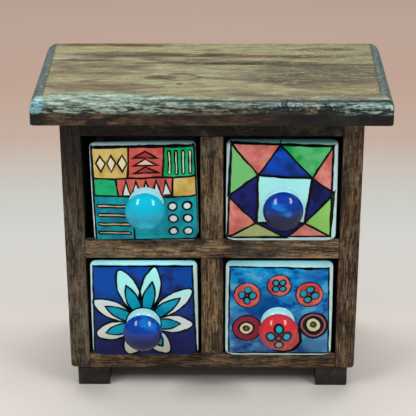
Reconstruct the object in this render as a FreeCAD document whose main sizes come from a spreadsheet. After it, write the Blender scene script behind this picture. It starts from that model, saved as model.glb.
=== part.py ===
"""A desk chest: four glazed ceramic drawers in a nailed hardwood case.

The case is a plain box of boards between two sides, divided into two rows and two columns
of bays, closed by a thin back panel, raised on four corner blocks and covered by a wider
roof board with a rounded front and rounded ends.  Each drawer is one hollow ceramic tray
whose front wall is a thick pillowed plate, with a mushroom-shaped knob luted to it.

Lengths are in millimetres.  +Z is up and the drawer fronts face -Y.  The origin lies on the
floor, under the middle of the whole chest, knobs included.
"""

import FreeCAD
import Part
import Sketcher
import os

Vector = FreeCAD.Vector

# Driving dimensions: alias, length in millimetres, meaning
SIZES = (
    ("bay_width", 67.0, "clear width of one drawer bay"),
    ("bay_height", 64.0, "clear height of one drawer bay"),
    ("case_depth", 79.5, "case front to the inner face of the back panel"),
    ("side_thickness", 11.5, "side boards"),
    ("divider_thickness", 13.0, "upright boards between the columns"),
    ("bottom_thickness", 10.0, "board under the lower drawers"),
    ("shelf_thickness", 12.5, "board between the rows"),
    ("case_top_thickness", 10.4, "board over the upper drawers"),
    ("back_thickness", 3.0, "plywood back panel"),
    ("board_wear", 0.7, "rounding of the sawn front edges"),
    ("side_toe_round", 2.4, "worn lower outer corner of each side board"),
    ("roof_thickness", 16.2, "roof board"),
    ("roof_side_overhang", 15.0, "roof board past each side"),
    ("roof_front_overhang", 11.0, "roof board past the case front"),
    ("roof_round", 6.8, "round along the roof's upper front and end edges"),
    ("roof_lower_round", 1.2, "softened lower edges of the roof"),
    ("foot_height", 12.5, "corner block height"),
    ("foot_width", 19.0, "corner block, along the front"),
    ("foot_depth", 17.0, "corner block, front to back"),
    ("foot_inset", 3.9, "corner block in from the side's outer face"),
    ("foot_set_back", 0.6, "corner block behind the case front and before its back"),
    ("foot_chamfer", 0.8, "chamfer around a corner block's upright edges"),
    ("drawer_side_gap", 2.0, "bay wall to drawer front, at its widest"),
    ("drawer_top_gap", 1.8, "bay ceiling to drawer front"),
    ("drawer_run_gap", 0.2, "running gap under a drawer"),
    ("drawer_stop_gap", 1.2, "drawer tail to back panel when closed"),
    ("front_stand_out", 4.2, "drawer face in front of the case front"),
    ("front_thickness", 6.0, "drawer front plate"),
    ("front_draft", 0.4, "how much each side of a front leans in at its top"),
    ("front_top_corner", 3.2, "upper corners of a front"),
    ("front_bottom_corner", 2.4, "lower corners of a front"),
    ("front_edge_round", 2.2, "round around a front's face"),
    ("plate_back_round", 1.4, "round around the back of a front"),
    ("tray_inset", 0.3, "tray side in from the flat of the front's back"),
    ("tray_drop", 10.0, "tray rim below the top of its front"),
    ("tray_wall", 4.5, "tray side and tail walls"),
    ("tray_floor", 4.5, "tray floor"),
    ("tray_tail_corner", 3.0, "outer corners at the tail"),
    ("cavity_corner", 4.0, "upright corners inside the tray"),
    ("cavity_floor_round", 3.0, "round between the tray's floor and walls"),
    ("rim_round", 1.4, "round along both sides of the tray's rim"),
    ("knob_height", 24.2, "knob axis above the drawer's underside"),
    ("knob_radius", 11.4, "knob at its widest"),
    ("knob_stand_off", 11.1, "drawer face to the widest part of the knob"),
    ("knob_front_bulge", 8.2, "widest part to the knob's tip"),
    ("knob_back_bulge", 6.5, "widest part back to where the cap's rear would close"),
    ("knob_neck_radius", 6.2, "neck under the knob"),
    ("knob_cove", 3.8, "hollow round where the neck spreads on to the face"),
    ("nail_radius", 0.9, "round nail shank"),
    ("nail_head_radius", 1.8, "round nail head"),
    ("nail_head_thickness", 0.8, "round nail head"),
    ("nail_point", 2.0, "tapered end of a nail"),
    ("nail_bite", 13.5, "how far a nail enters the second board"),
    ("pin_radius", 0.6, "panel pin shank"),
    ("pin_head_radius", 1.2, "panel pin head"),
    ("pin_head_thickness", 0.5, "panel pin head"),
    ("pin_point", 1.2, "tapered end of a panel pin"),
    ("pin_bite", 9.0, "how far a panel pin enters the case"),
    ("screw_radius", 1.5, "wood screw shank"),
    ("screw_head_radius", 3.0, "countersunk head"),
    ("screw_head_depth", 1.8, "countersunk head"),
    ("screw_point", 3.0, "tapered end of a wood screw"),
)

# Places along a length, as shares of that length
NAIL_DEPTH_SHARES = (0.2, 0.8)  # nails and screws, from the case front to its back
PIN_HEIGHT_SHARES = (0.15, 0.5, 0.85)  # panel pins up each side board
PIN_WIDTH_SHARES = (-0.25, 0.25)  # panel pins along each level board, from its middle
FOOT_NAIL_BITE_SHARE = 0.7  # of the bottom board's thickness
SCREW_BITE_SHARE = 0.6  # of the roof board's thickness

# How each drawer sits off the middle of its bay, as shares of the side gap
DRAWER_SHIFT_SHARES = {
    ("upper", "left"): 0.8,
    ("upper", "right"): -0.25,
    ("lower", "left"): 0.05,
    ("lower", "right"): -0.4,
}

# Where each knob was luted, off its nominal place, as shares of its radius: across, up
KNOB_SHIFT_SHARES = {
    ("upper", "left"): (0.1, 0.02),
    ("upper", "right"): (0.04, 0.1),
    ("lower", "left"): (-0.05, -0.12),
    ("lower", "right"): (-0.05, -0.03),
}

# Tests on edges: how near two lengths are to count as one, and how much of an edge's
# direction lies along an axis when it runs that way
SAME_LENGTH = 1e-4
ALONG_SHARE = 0.9
QUARTER_TURN = 90

# Derived lengths, written once and used by every piece that meets them
CASE_WIDTH = "(2 * Sizes.bay_width + Sizes.divider_thickness + 2 * Sizes.side_thickness)"
INNER_WIDTH = "(2 * Sizes.bay_width + Sizes.divider_thickness)"
BOTTOM_LEVEL = "Sizes.foot_height"
LOWER_BAY_LEVEL = f"({BOTTOM_LEVEL} + Sizes.bottom_thickness)"
SHELF_LEVEL = f"({LOWER_BAY_LEVEL} + Sizes.bay_height)"
UPPER_BAY_LEVEL = f"({SHELF_LEVEL} + Sizes.shelf_thickness)"
CASE_TOP_LEVEL = f"({UPPER_BAY_LEVEL} + Sizes.bay_height)"
ROOF_LEVEL = f"({CASE_TOP_LEVEL} + Sizes.case_top_thickness)"
CASE_HEIGHT = f"({ROOF_LEVEL} - {BOTTOM_LEVEL})"
CASE_OUTER_DEPTH = "(Sizes.case_depth + Sizes.back_thickness)"
KNOB_REACH = "(Sizes.knob_stand_off + Sizes.knob_front_bulge)"
# The case front stands forward of the origin so that the chest's depth, from the knobs'
# tips to the back panel, has its middle at the origin.
FRONT_Y = f"(-({CASE_OUTER_DEPTH} - {KNOB_REACH} - Sizes.front_stand_out) / 2)"
BACK_Y = f"({FRONT_Y} + Sizes.case_depth)"
REAR_Y = f"({FRONT_Y} + {CASE_OUTER_DEPTH})"
BAY_CENTRE = "((Sizes.divider_thickness + Sizes.bay_width) / 2)"
FRONT_WIDTH = "(Sizes.bay_width - 2 * Sizes.drawer_side_gap)"
FRONT_HEIGHT = "(Sizes.bay_height - Sizes.drawer_top_gap - Sizes.drawer_run_gap)"
TRAY_HEIGHT = f"({FRONT_HEIGHT} - Sizes.tray_drop)"
FLAT_BACK_WIDTH = f"({FRONT_WIDTH} - 2 * Sizes.front_draft - 2 * Sizes.plate_back_round)"
TRAY_WIDTH = f"({FLAT_BACK_WIDTH} - 2 * Sizes.tray_inset)"
DRAWER_LENGTH = "(Sizes.case_depth + Sizes.front_stand_out - Sizes.drawer_stop_gap)"

doc = FreeCAD.newDocument("ceramic_drawer_chest")
sheet = doc.addObject("Spreadsheet::Sheet", "Sizes")
for row, (alias, length, meaning) in enumerate(SIZES, start=1):
    sheet.set(f"A{row}", alias)
    sheet.set(f"B{row}", str(length))
    sheet.set(f"C{row}", meaning)
    sheet.setAlias(f"B{row}", alias)
doc.recompute()

nodes = []


def value(expression):
    """The number that an expression on the sheet gives now."""
    return float(sheet.evalExpression(expression))


def keep(feature, label):
    """Names a finished sub-part and lists it for export."""
    feature.Label = label
    nodes.append(feature)
    return feature


def place(feature, x, y, z, rotation=None):
    """Puts a feature's own origin at a point given by three expressions."""
    if rotation is not None:
        feature.Placement = FreeCAD.Placement(Vector(), rotation)
    for axis, expression in (("x", x), ("y", y), ("z", z)):
        feature.setExpression(f"Placement.Base.{axis}", expression)
    return feature


def origin_plane(body, role):
    """One of a body's own origin planes, by its role."""
    return next(item for item in body.Origin.OriginFeatures if item.Role == role)


def polygon_sketch(body, name, role, corners, height="0"):
    """A closed outline on an origin plane, each corner held by two bound distances."""
    sketch = body.newObject("Sketcher::SketchObject", name)
    sketch.AttachmentSupport = [(origin_plane(body, role), "")]
    sketch.MapMode = "FlatFace"
    sketch.setExpression("AttachmentOffset.Base.z", height)
    points = [Vector(value(x), value(y), 0) for x, y in corners]
    count = len(points)
    for index in range(count):
        line = Part.LineSegment(points[index], points[(index + 1) % count])
        sketch.addGeometry(line, False)
    for index in range(count):
        following = (index + 1) % count
        sketch.addConstraint(Sketcher.Constraint("Coincident", index, 2, following, 1))
    for index, (x, y) in enumerate(corners):
        for kind, expression, start in (
            ("DistanceX", x, points[index].x),
            ("DistanceY", y, points[index].y),
        ):
            held = Sketcher.Constraint(kind, -1, 1, index, 1, start)
            sketch.addConstraint(held)
            last = sketch.ConstraintCount - 1
            sketch.renameConstraint(last, f"{kind}{index}")
            sketch.setExpression(f"Constraints.{kind}{index}", expression)
    return sketch


def rectangle(width, depth, left="0", near="0"):
    """The corners of a rectangle from its near left corner, as expressions."""
    right = f"({left} + {width})"
    far = f"({near} + {depth})"
    return [(left, near), (right, near), (right, far), (left, far)]


def add_pad(body, name, sketch, length, reverse=False):
    """Raises a sketch along its normal, or against it."""
    pad = body.newObject("PartDesign::Pad", name)
    pad.Profile = sketch
    pad.setExpression("Length", length)
    pad.Reversed = reverse
    doc.recompute()
    return pad


def add_pocket(body, name, sketch, length):
    """Cuts upward from a sketch and makes sure that material went."""
    before = body.Shape.Volume
    pocket = body.newObject("PartDesign::Pocket", name)
    pocket.Profile = sketch
    pocket.setExpression("Length", length)
    pocket.Reversed = True
    doc.recompute()
    if body.Shape.Volume >= before:
        raise RuntimeError(f"{name} cuts nothing")
    return pocket


def edges_where(shape, test):
    """The names of a shape's edges whose middle point and direction pass a test."""
    found = []
    for index, edge in enumerate(shape.Edges, start=1):
        middle = edge.valueAt((edge.FirstParameter + edge.LastParameter) / 2)
        along = edge.tangentAt((edge.FirstParameter + edge.LastParameter) / 2)
        if test(middle, along):
            found.append(f"Edge{index}")
    if not found:
        raise RuntimeError("no edge passes the test")
    return found


def soften(body, kind, name, base, size, test):
    """A PartDesign fillet or chamfer on the edges of the base that pass a test."""
    feature = body.newObject(f"PartDesign::{kind}", name)
    feature.Base = (base, edges_where(base.Shape, test))
    feature.setExpression("Radius" if kind == "Fillet" else "Size", size)
    body.Tip = feature
    doc.recompute()
    return feature


def near_to(a, b):
    """Whether two lengths are the same to well under the smallest size here."""
    return abs(a - b) < SAME_LENGTH


def board(name, width, depth, height, x, y, z, toe=None):
    """A sawn board from its low corner, with worn edges along its front.

    toe gives the x of the outer face whose lower corner is worn round, on a side board.
    """
    body = doc.addObject("PartDesign::Body", name + "_blank")
    outline = polygon_sketch(body, name + "_outline", "XY_Plane", rectangle(width, depth))
    base = add_pad(body, name + "_pad", outline, height)
    if toe is not None:
        outer = value(toe)
        base = soften(
            body, "Fillet", name + "_toe", base, "Sizes.side_toe_round",
            lambda middle, along: near_to(middle.x, outer)
            and near_to(middle.z, 0)
            and abs(along.y) > ALONG_SHARE,
        )
    soften(
        body, "Fillet", name + "_wear", base, "Sizes.board_wear",
        lambda middle, along: near_to(middle.y, 0),
    )
    place(body, x, y, z)
    return body


def panel(name, width, depth, height, x, y, z):
    """A square-edged board as a plain box from its low corner."""
    box = doc.addObject("Part::Box", name + "_blank")
    for side, expression in (("Length", width), ("Width", depth), ("Height", height)):
        box.setExpression(side, expression)
    place(box, x, y, z)
    return box


def roof():
    """The roof board: rounded above along its front and ends, square at the back."""
    width = f"({CASE_WIDTH} + 2 * Sizes.roof_side_overhang)"
    depth = f"({CASE_OUTER_DEPTH} + Sizes.roof_front_overhang)"
    body = doc.addObject("PartDesign::Body", "roof_blank")
    outline = polygon_sketch(
        body, "roof_outline", "XY_Plane", rectangle(width, depth, f"(-{width} / 2)")
    )
    pad = add_pad(body, "roof_pad", outline, "Sizes.roof_thickness")
    back = value(depth)
    top = value("Sizes.roof_thickness")
    rounded = soften(
        body, "Fillet", "roof_round", pad, "Sizes.roof_round",
        lambda middle, along: near_to(middle.z, top) and middle.y < back - SAME_LENGTH,
    )
    soften(
        body, "Fillet", "roof_lower_round", rounded, "Sizes.roof_lower_round",
        lambda middle, along: near_to(middle.z, 0) and middle.y < back - SAME_LENGTH,
    )
    place(body, "0", f"({FRONT_Y} - Sizes.roof_front_overhang)", ROOF_LEVEL)
    return body


def foot(name, side, near):
    """A corner block with chamfered upright edges; side is -1 or 1, near is front or rear."""
    body = doc.addObject("PartDesign::Body", name + "_blank")
    outline = polygon_sketch(
        body, name + "_outline", "XY_Plane", rectangle("Sizes.foot_width", "Sizes.foot_depth")
    )
    pad = add_pad(body, name + "_pad", outline, "Sizes.foot_height")
    soften(
        body, "Chamfer", name + "_chamfer", pad, "Sizes.foot_chamfer",
        lambda middle, along: abs(along.z) > ALONG_SHARE,
    )
    outer = f"({CASE_WIDTH} / 2 - Sizes.foot_inset)"
    x = f"(-{outer})" if side < 0 else f"({outer} - Sizes.foot_width)"
    y = (
        f"({FRONT_Y} + Sizes.foot_set_back)"
        if near
        else f"({BACK_Y} - Sizes.foot_set_back - Sizes.foot_depth)"
    )
    place(body, x, y, "0")
    return body


def fastener(name, kind, length, at, rotation):
    """A nail, panel pin or wood screw, driven along its +Z from the head at its origin."""
    countersunk = kind == "screw"
    shank = doc.addObject("Part::Cylinder", name + "_shank")
    shank.setExpression("Radius", f"Sizes.{kind}_radius")
    shank.setExpression("Height", f"({length} - Sizes.{kind}_point)")
    point = doc.addObject("Part::Cone", name + "_point")
    point.setExpression("Radius1", f"Sizes.{kind}_radius")
    point.Radius2 = 0
    point.setExpression("Height", f"Sizes.{kind}_point")
    place(point, "0", "0", f"({length} - Sizes.{kind}_point)")
    if countersunk:
        head = doc.addObject("Part::Cone", name + "_head")
        head.setExpression("Radius1", "Sizes.screw_head_radius")
        head.setExpression("Radius2", "Sizes.screw_radius")
        head.setExpression("Height", "Sizes.screw_head_depth")
    else:
        head = doc.addObject("Part::Cylinder", name + "_head")
        head.setExpression("Radius", f"Sizes.{kind}_head_radius")
        head.setExpression("Height", f"Sizes.{kind}_head_thickness")
    whole = doc.addObject("Part::MultiFuse", name)
    whole.Shapes = [shank, point, head]
    place(whole, *at, rotation)
    return whole


def group(name, members):
    """Several like solids as one sub-part."""
    compound = doc.addObject("Part::Compound", name)
    compound.Links = members
    return compound


def drawer(name):
    """A ceramic drawer: thick pillowed front, tapered a little towards its top, and tray.

    Its own origin is on the face, above the middle of the front's lower edge.
    """
    body = doc.addObject("PartDesign::Body", name + "_body")
    top_half = f"({FRONT_WIDTH} / 2 - Sizes.front_draft)"
    bottom_half = f"({FRONT_WIDTH} / 2)"
    plate_outline = polygon_sketch(
        body, name + "_plate_outline", "XZ_Plane",
        [
            (f"(-{bottom_half})", "0"),
            (bottom_half, "0"),
            (top_half, FRONT_HEIGHT),
            (f"(-{top_half})", FRONT_HEIGHT),
        ],
    )
    plate = add_pad(body, name + "_plate", plate_outline, "Sizes.front_thickness", True)
    half_height = value(FRONT_HEIGHT) / 2
    top_corners = soften(
        body, "Fillet", name + "_top_corners", plate, "Sizes.front_top_corner",
        lambda middle, along: abs(along.y) > ALONG_SHARE and middle.z > half_height,
    )
    corners = soften(
        body, "Fillet", name + "_bottom_corners", top_corners, "Sizes.front_bottom_corner",
        lambda middle, along: abs(along.y) > ALONG_SHARE and near_to(middle.z, 0),
    )
    pillow = soften(
        body, "Fillet", name + "_pillow", corners, "Sizes.front_edge_round",
        lambda middle, along: near_to(middle.y, 0),
    )
    thickness = value("Sizes.front_thickness")
    soften(
        body, "Fillet", name + "_plate_back", pillow, "Sizes.plate_back_round",
        lambda middle, along: near_to(middle.y, thickness),
    )
    inner = "(Sizes.front_thickness / 2)"
    tray_outline = polygon_sketch(
        body, name + "_tray_outline", "XY_Plane",
        rectangle(TRAY_WIDTH, f"({DRAWER_LENGTH} - {inner})", f"(-{TRAY_WIDTH} / 2)", inner),
    )
    tray = add_pad(body, name + "_tray", tray_outline, TRAY_HEIGHT)
    tail = value(DRAWER_LENGTH)
    tail_corners = soften(
        body, "Fillet", name + "_tail_corners", tray, "Sizes.tray_tail_corner",
        lambda middle, along: abs(along.z) > ALONG_SHARE and near_to(middle.y, tail),
    )
    cavity_width = f"({TRAY_WIDTH} - 2 * Sizes.tray_wall)"
    cavity_length = f"({DRAWER_LENGTH} - Sizes.front_thickness - Sizes.tray_wall)"
    cavity_outline = polygon_sketch(
        body, name + "_cavity_outline", "XY_Plane",
        rectangle(cavity_width, cavity_length, f"(-{cavity_width} / 2)", "Sizes.front_thickness"),
        "Sizes.tray_floor",
    )
    cavity = add_pocket(body, name + "_cavity", cavity_outline, TRAY_HEIGHT)
    half_cavity = value(cavity_width) / 2
    cavity_front = value("Sizes.front_thickness")
    cavity_back = cavity_front + value(cavity_length)
    floor = value("Sizes.tray_floor")

    def inside(middle):
        """Whether a point lies on or in the cavity's outline."""
        return (
            abs(middle.x) < half_cavity + SAME_LENGTH
            and cavity_front - SAME_LENGTH < middle.y < cavity_back + SAME_LENGTH
        )

    cavity_corners = soften(
        body, "Fillet", name + "_cavity_corners", cavity, "Sizes.cavity_corner",
        lambda middle, along: abs(along.z) > ALONG_SHARE and inside(middle) and middle.z > floor,
    )
    floor_round = soften(
        body, "Fillet", name + "_floor_round", cavity_corners, "Sizes.cavity_floor_round",
        lambda middle, along: near_to(middle.z, floor) and inside(middle),
    )
    rim = value(TRAY_HEIGHT)
    soften(
        body, "Fillet", name + "_rim", floor_round, "Sizes.rim_round",
        lambda middle, along: near_to(middle.z, rim) and middle.y > cavity_front + SAME_LENGTH,
    )
    return body


def knob(name):
    """A mushroom-shaped knob turned about Y: coved base on the face, neck and domed cap.

    Its own origin is where its axis meets the drawer's face.
    """
    outward = FreeCAD.Rotation(Vector(0, 0, 1), Vector(0, -1, 0))
    cap_front = doc.addObject("Part::Ellipsoid", name + "_cap_front")
    cap_front.setExpression("Radius1", "Sizes.knob_front_bulge")
    cap_front.Angle1 = 0
    cap_front.Angle2 = QUARTER_TURN
    cap_back = doc.addObject("Part::Ellipsoid", name + "_cap_back")
    cap_back.setExpression("Radius1", "Sizes.knob_back_bulge")
    cap_back.Angle1 = -QUARTER_TURN
    cap_back.Angle2 = 0
    for half in (cap_front, cap_back):
        half.setExpression("Radius2", "Sizes.knob_radius")
        half.setExpression("Radius3", "Sizes.knob_radius")
        place(half, "0", "0", "Sizes.knob_stand_off")
    neck = doc.addObject("Part::Cylinder", name + "_neck")
    neck.setExpression("Radius", "Sizes.knob_neck_radius")
    neck.setExpression("Height", "Sizes.knob_stand_off")
    base = doc.addObject("Part::Cylinder", name + "_base")
    base.setExpression("Radius", "(Sizes.knob_neck_radius + Sizes.knob_cove)")
    base.setExpression("Height", "Sizes.knob_cove")
    hollow = doc.addObject("Part::Torus", name + "_hollow")
    hollow.setExpression("Radius1", "(Sizes.knob_neck_radius + Sizes.knob_cove)")
    hollow.setExpression("Radius2", "Sizes.knob_cove")
    place(hollow, "0", "0", "Sizes.knob_cove")
    cove = doc.addObject("Part::Cut", name + "_cove")
    cove.Base = base
    cove.Tool = hollow
    whole = doc.addObject("Part::MultiFuse", name + "_whole")
    whole.Shapes = [cove, neck, cap_back, cap_front]
    whole.Placement = FreeCAD.Placement(Vector(), outward)
    return whole


# Fasteners, driven before the boards are cut so that each hole is its fastener's own shape
INTO_RIGHT = FreeCAD.Rotation(Vector(0, 0, 1), Vector(1, 0, 0))
INTO_LEFT = FreeCAD.Rotation(Vector(0, 0, 1), Vector(-1, 0, 0))
FORWARD = FreeCAD.Rotation(Vector(0, 0, 1), Vector(0, -1, 0))
UPWARD = FreeCAD.Rotation()
DOWNWARD = FreeCAD.Rotation(Vector(0, 0, 1), Vector(0, 0, -1))

LEVEL_BOARDS = {
    "bottom": f"({BOTTOM_LEVEL} + Sizes.bottom_thickness / 2)",
    "shelf": f"({SHELF_LEVEL} + Sizes.shelf_thickness / 2)",
    "case_top": f"({CASE_TOP_LEVEL} + Sizes.case_top_thickness / 2)",
}
nail_depths = [f"({FRONT_Y} + {share} * Sizes.case_depth)" for share in NAIL_DEPTH_SHARES]

side_nail_list = []
for side, direction in ((-1, INTO_RIGHT), (1, INTO_LEFT)):
    for board_name, level in LEVEL_BOARDS.items():
        for number, depth in enumerate(nail_depths):
            side_nail_list.append(
                fastener(
                    f"side_nail_{board_name}_{number}_{'left' if side < 0 else 'right'}",
                    "nail",
                    "(Sizes.side_thickness + Sizes.nail_bite)",
                    (f"({side} * {CASE_WIDTH} / 2)", depth, level),
                    direction,
                )
            )
side_nails = group("side_nails", side_nail_list)

divider_nail_list = []
for number, depth in enumerate(nail_depths):
    divider_nail_list.append(
        fastener(
            f"divider_nail_upper_{number}", "nail",
            "(Sizes.case_top_thickness + Sizes.nail_bite)",
            ("0", depth, ROOF_LEVEL), DOWNWARD,
        )
    )
    divider_nail_list.append(
        fastener(
            f"divider_nail_lower_{number}", "nail",
            "(Sizes.bottom_thickness + Sizes.nail_bite)",
            ("0", depth, BOTTOM_LEVEL), UPWARD,
        )
    )
divider_nails = group("divider_nails", divider_nail_list)

screw_list = []
for side in (-1, 1):
    for number, depth in enumerate(nail_depths):
        screw_list.append(
            fastener(
                f"roof_screw_{number}_{'left' if side < 0 else 'right'}", "screw",
                f"(Sizes.case_top_thickness + {SCREW_BITE_SHARE} * Sizes.roof_thickness)",
                (f"({side} * {BAY_CENTRE})", depth, CASE_TOP_LEVEL), UPWARD,
            )
        )
roof_screws = group("roof_screws", screw_list)

pin_length = "(Sizes.back_thickness + Sizes.pin_bite)"
pin_list = []
for side in (-1, 1):
    for number, share in enumerate(PIN_HEIGHT_SHARES):
        pin_list.append(
            fastener(
                f"side_pin_{number}_{'left' if side < 0 else 'right'}", "pin",
                pin_length,
                (
                    f"({side} * ({CASE_WIDTH} - Sizes.side_thickness) / 2)",
                    REAR_Y,
                    f"({BOTTOM_LEVEL} + {share} * {CASE_HEIGHT})",
                ),
                FORWARD,
            )
        )
for board_name, level in LEVEL_BOARDS.items():
    for number, share in enumerate(PIN_WIDTH_SHARES):
        pin_list.append(
            fastener(
                f"level_pin_{board_name}_{number}", "pin", pin_length,
                (f"({share} * {INNER_WIDTH})", REAR_Y, level), FORWARD,
            )
        )
back_pins = group("back_pins", pin_list)

foot_outer = f"({CASE_WIDTH} / 2 - Sizes.foot_inset)"
foot_inner = f"({foot_outer} - Sizes.foot_width)"
side_inner = f"({INNER_WIDTH} / 2)"
foot_nail_lines = {
    "side": f"(({foot_outer} + {side_inner}) / 2)",
    "bottom": f"(({foot_inner} + {side_inner}) / 2)",
}
foot_middles = {
    "front": f"({FRONT_Y} + Sizes.foot_set_back + Sizes.foot_depth / 2)",
    "rear": f"({BACK_Y} - Sizes.foot_set_back - Sizes.foot_depth / 2)",
}
foot_nail_list = []
for side in (-1, 1):
    for end, middle_y in foot_middles.items():
        for line, x in foot_nail_lines.items():
            foot_nail_list.append(
                fastener(
                    f"foot_nail_{line}_{end}_{'left' if side < 0 else 'right'}", "nail",
                    f"(Sizes.foot_height + {FOOT_NAIL_BITE_SHARE} * Sizes.bottom_thickness)",
                    (f"({side} * {x})", middle_y, "0"), UPWARD,
                )
            )
foot_nails = group("foot_nails", foot_nail_list)

fastener_groups = (side_nails, divider_nails, roof_screws, back_pins, foot_nails)
all_fasteners = group("all_fasteners", list(fastener_groups))
doc.recompute()

# Boards of the case, each drilled by the fasteners that pass through it
left_x = f"(-{CASE_WIDTH} / 2)"
inner_left_x = f"(-{INNER_WIDTH} / 2)"
inner_right_x = f"({INNER_WIDTH} / 2)"
divider_x = "(-Sizes.divider_thickness / 2)"
blanks = {
    "roof_board": roof(),
    "left_side": board(
        "left_side", "Sizes.side_thickness", "Sizes.case_depth", CASE_HEIGHT,
        left_x, FRONT_Y, BOTTOM_LEVEL, "0",
    ),
    "right_side": board(
        "right_side", "Sizes.side_thickness", "Sizes.case_depth", CASE_HEIGHT,
        inner_right_x, FRONT_Y, BOTTOM_LEVEL, "Sizes.side_thickness",
    ),
    "bottom_board": board(
        "bottom_board", INNER_WIDTH, "Sizes.case_depth", "Sizes.bottom_thickness",
        inner_left_x, FRONT_Y, BOTTOM_LEVEL,
    ),
    "middle_shelf": board(
        "middle_shelf", INNER_WIDTH, "Sizes.case_depth", "Sizes.shelf_thickness",
        inner_left_x, FRONT_Y, SHELF_LEVEL,
    ),
    "case_top": board(
        "case_top", INNER_WIDTH, "Sizes.case_depth", "Sizes.case_top_thickness",
        inner_left_x, FRONT_Y, CASE_TOP_LEVEL,
    ),
    "lower_divider": board(
        "lower_divider", "Sizes.divider_thickness", "Sizes.case_depth", "Sizes.bay_height",
        divider_x, FRONT_Y, LOWER_BAY_LEVEL,
    ),
    "upper_divider": board(
        "upper_divider", "Sizes.divider_thickness", "Sizes.case_depth", "Sizes.bay_height",
        divider_x, FRONT_Y, UPPER_BAY_LEVEL,
    ),
    "back_panel": panel(
        "back_panel", CASE_WIDTH, "Sizes.back_thickness", CASE_HEIGHT,
        left_x, BACK_Y, BOTTOM_LEVEL,
    ),
    "front_left_foot": foot("front_left_foot", -1, True),
    "front_right_foot": foot("front_right_foot", 1, True),
    "rear_left_foot": foot("rear_left_foot", -1, False),
    "rear_right_foot": foot("rear_right_foot", 1, False),
}
for label, blank in blanks.items():
    drilled = doc.addObject("Part::Cut", label)
    drilled.Base = blank
    drilled.Tool = all_fasteners
    doc.recompute()
    if drilled.Shape.Volume >= blank.Shape.Volume:
        raise RuntimeError(f"{label} has no fastener holes")
    keep(drilled, label)
for fasteners in fastener_groups:
    keep(fasteners, fasteners.Name)

# Drawers and knobs, one of each for every bay
for (row, column), shift_share in DRAWER_SHIFT_SHARES.items():
    floor_level = UPPER_BAY_LEVEL if row == "upper" else LOWER_BAY_LEVEL
    sign = "-1" if column == "left" else "1"
    x = f"({sign} * {BAY_CENTRE} + {shift_share} * Sizes.drawer_side_gap)"
    y = f"({FRONT_Y} - Sizes.front_stand_out)"
    z = f"({floor_level} + Sizes.drawer_run_gap)"
    tray = drawer(f"{row}_{column}")
    place(tray, x, y, z)
    keep(tray, f"{row}_{column}_drawer")
    pull = knob(f"{row}_{column}")
    across_share, up_share = KNOB_SHIFT_SHARES[row, column]
    place(
        pull,
        f"({x} + {across_share} * Sizes.knob_radius)",
        y,
        f"({z} + Sizes.knob_height + {up_share} * Sizes.knob_radius)",
    )
    keep(pull, f"{row}_{column}_knob")
doc.recompute()

for item in doc.Objects:
    if "Invalid" in item.State or "Error" in item.State:
        raise RuntimeError(f"{item.Name} did not build: {item.State}")
for node in nodes:
    if node.Shape.isNull() or not node.Shape.isValid() or not node.Shape.Solids:
        raise RuntimeError(f"{node.Label} has no valid solid")

os.makedirs("parts", exist_ok=True)
for node in nodes:
    node.Shape.exportStep(f"parts/{node.Label}.step")
    box = node.Shape.BoundBox
    print(
        f"{node.Label}: {len(node.Shape.Solids)} solid(s), {node.Shape.Volume:.1f} mm3, "
        f"{box.XLength:.2f} x {box.YLength:.2f} x {box.ZLength:.2f} mm"
    )
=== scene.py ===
"""A desk chest of four painted ceramic drawers in a patinated wooden case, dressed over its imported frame."""

from __future__ import annotations

import logging
import math
from collections.abc import Callable, Sequence
from dataclasses import dataclass, field
from enum import Enum

import bpy
import numpy as np
from mathutils import Matrix, Vector, noise


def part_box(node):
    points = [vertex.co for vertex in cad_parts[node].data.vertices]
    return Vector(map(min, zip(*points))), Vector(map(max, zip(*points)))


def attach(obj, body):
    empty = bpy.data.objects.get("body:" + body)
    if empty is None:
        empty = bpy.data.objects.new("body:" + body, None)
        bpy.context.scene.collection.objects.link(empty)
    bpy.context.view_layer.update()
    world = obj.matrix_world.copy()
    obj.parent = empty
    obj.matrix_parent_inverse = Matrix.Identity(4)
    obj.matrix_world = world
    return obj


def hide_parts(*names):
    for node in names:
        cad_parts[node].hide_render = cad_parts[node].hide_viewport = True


MM = 0.001
LOG = logging.getLogger("chest")

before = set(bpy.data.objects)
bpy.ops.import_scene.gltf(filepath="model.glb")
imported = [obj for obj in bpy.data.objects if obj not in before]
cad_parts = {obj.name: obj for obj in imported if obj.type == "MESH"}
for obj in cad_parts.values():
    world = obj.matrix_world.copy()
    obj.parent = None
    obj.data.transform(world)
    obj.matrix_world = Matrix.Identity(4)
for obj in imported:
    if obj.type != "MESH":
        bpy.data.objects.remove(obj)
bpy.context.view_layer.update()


class Axis(Enum):
    """A direction of the chest: across it, from its front to its back, or upwards."""

    ACROSS = 0
    BACKWARDS = 1
    UPWARDS = 2


def tone(code: str) -> tuple[float, float, float, float]:
    """Turns a written colour into the linear one that a shader takes.

    Args:
        code: six hexadecimal digits, two each for red, green and blue.

    Returns:
        The linear colour with full opacity.
    """
    parts = [int(code[start : start + 2], 16) / 255 for start in (0, 2, 4)]
    linear = [part / 12.92 if part <= 0.04045 else ((part + 0.055) / 1.055) ** 2.4 for part in parts]
    return (linear[0], linear[1], linear[2], 1.0)


# What a node's socket can be fed with.
Feed = "Wire | float | Sequence[float]"
# A place across and upwards, or two lengths, radii or limits that belong together.
Pair = tuple[float, float]
# A skin's points in millimetres, and its faces as the numbers of their points.
Skin = tuple[np.ndarray, list[tuple[int, ...]]]


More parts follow.
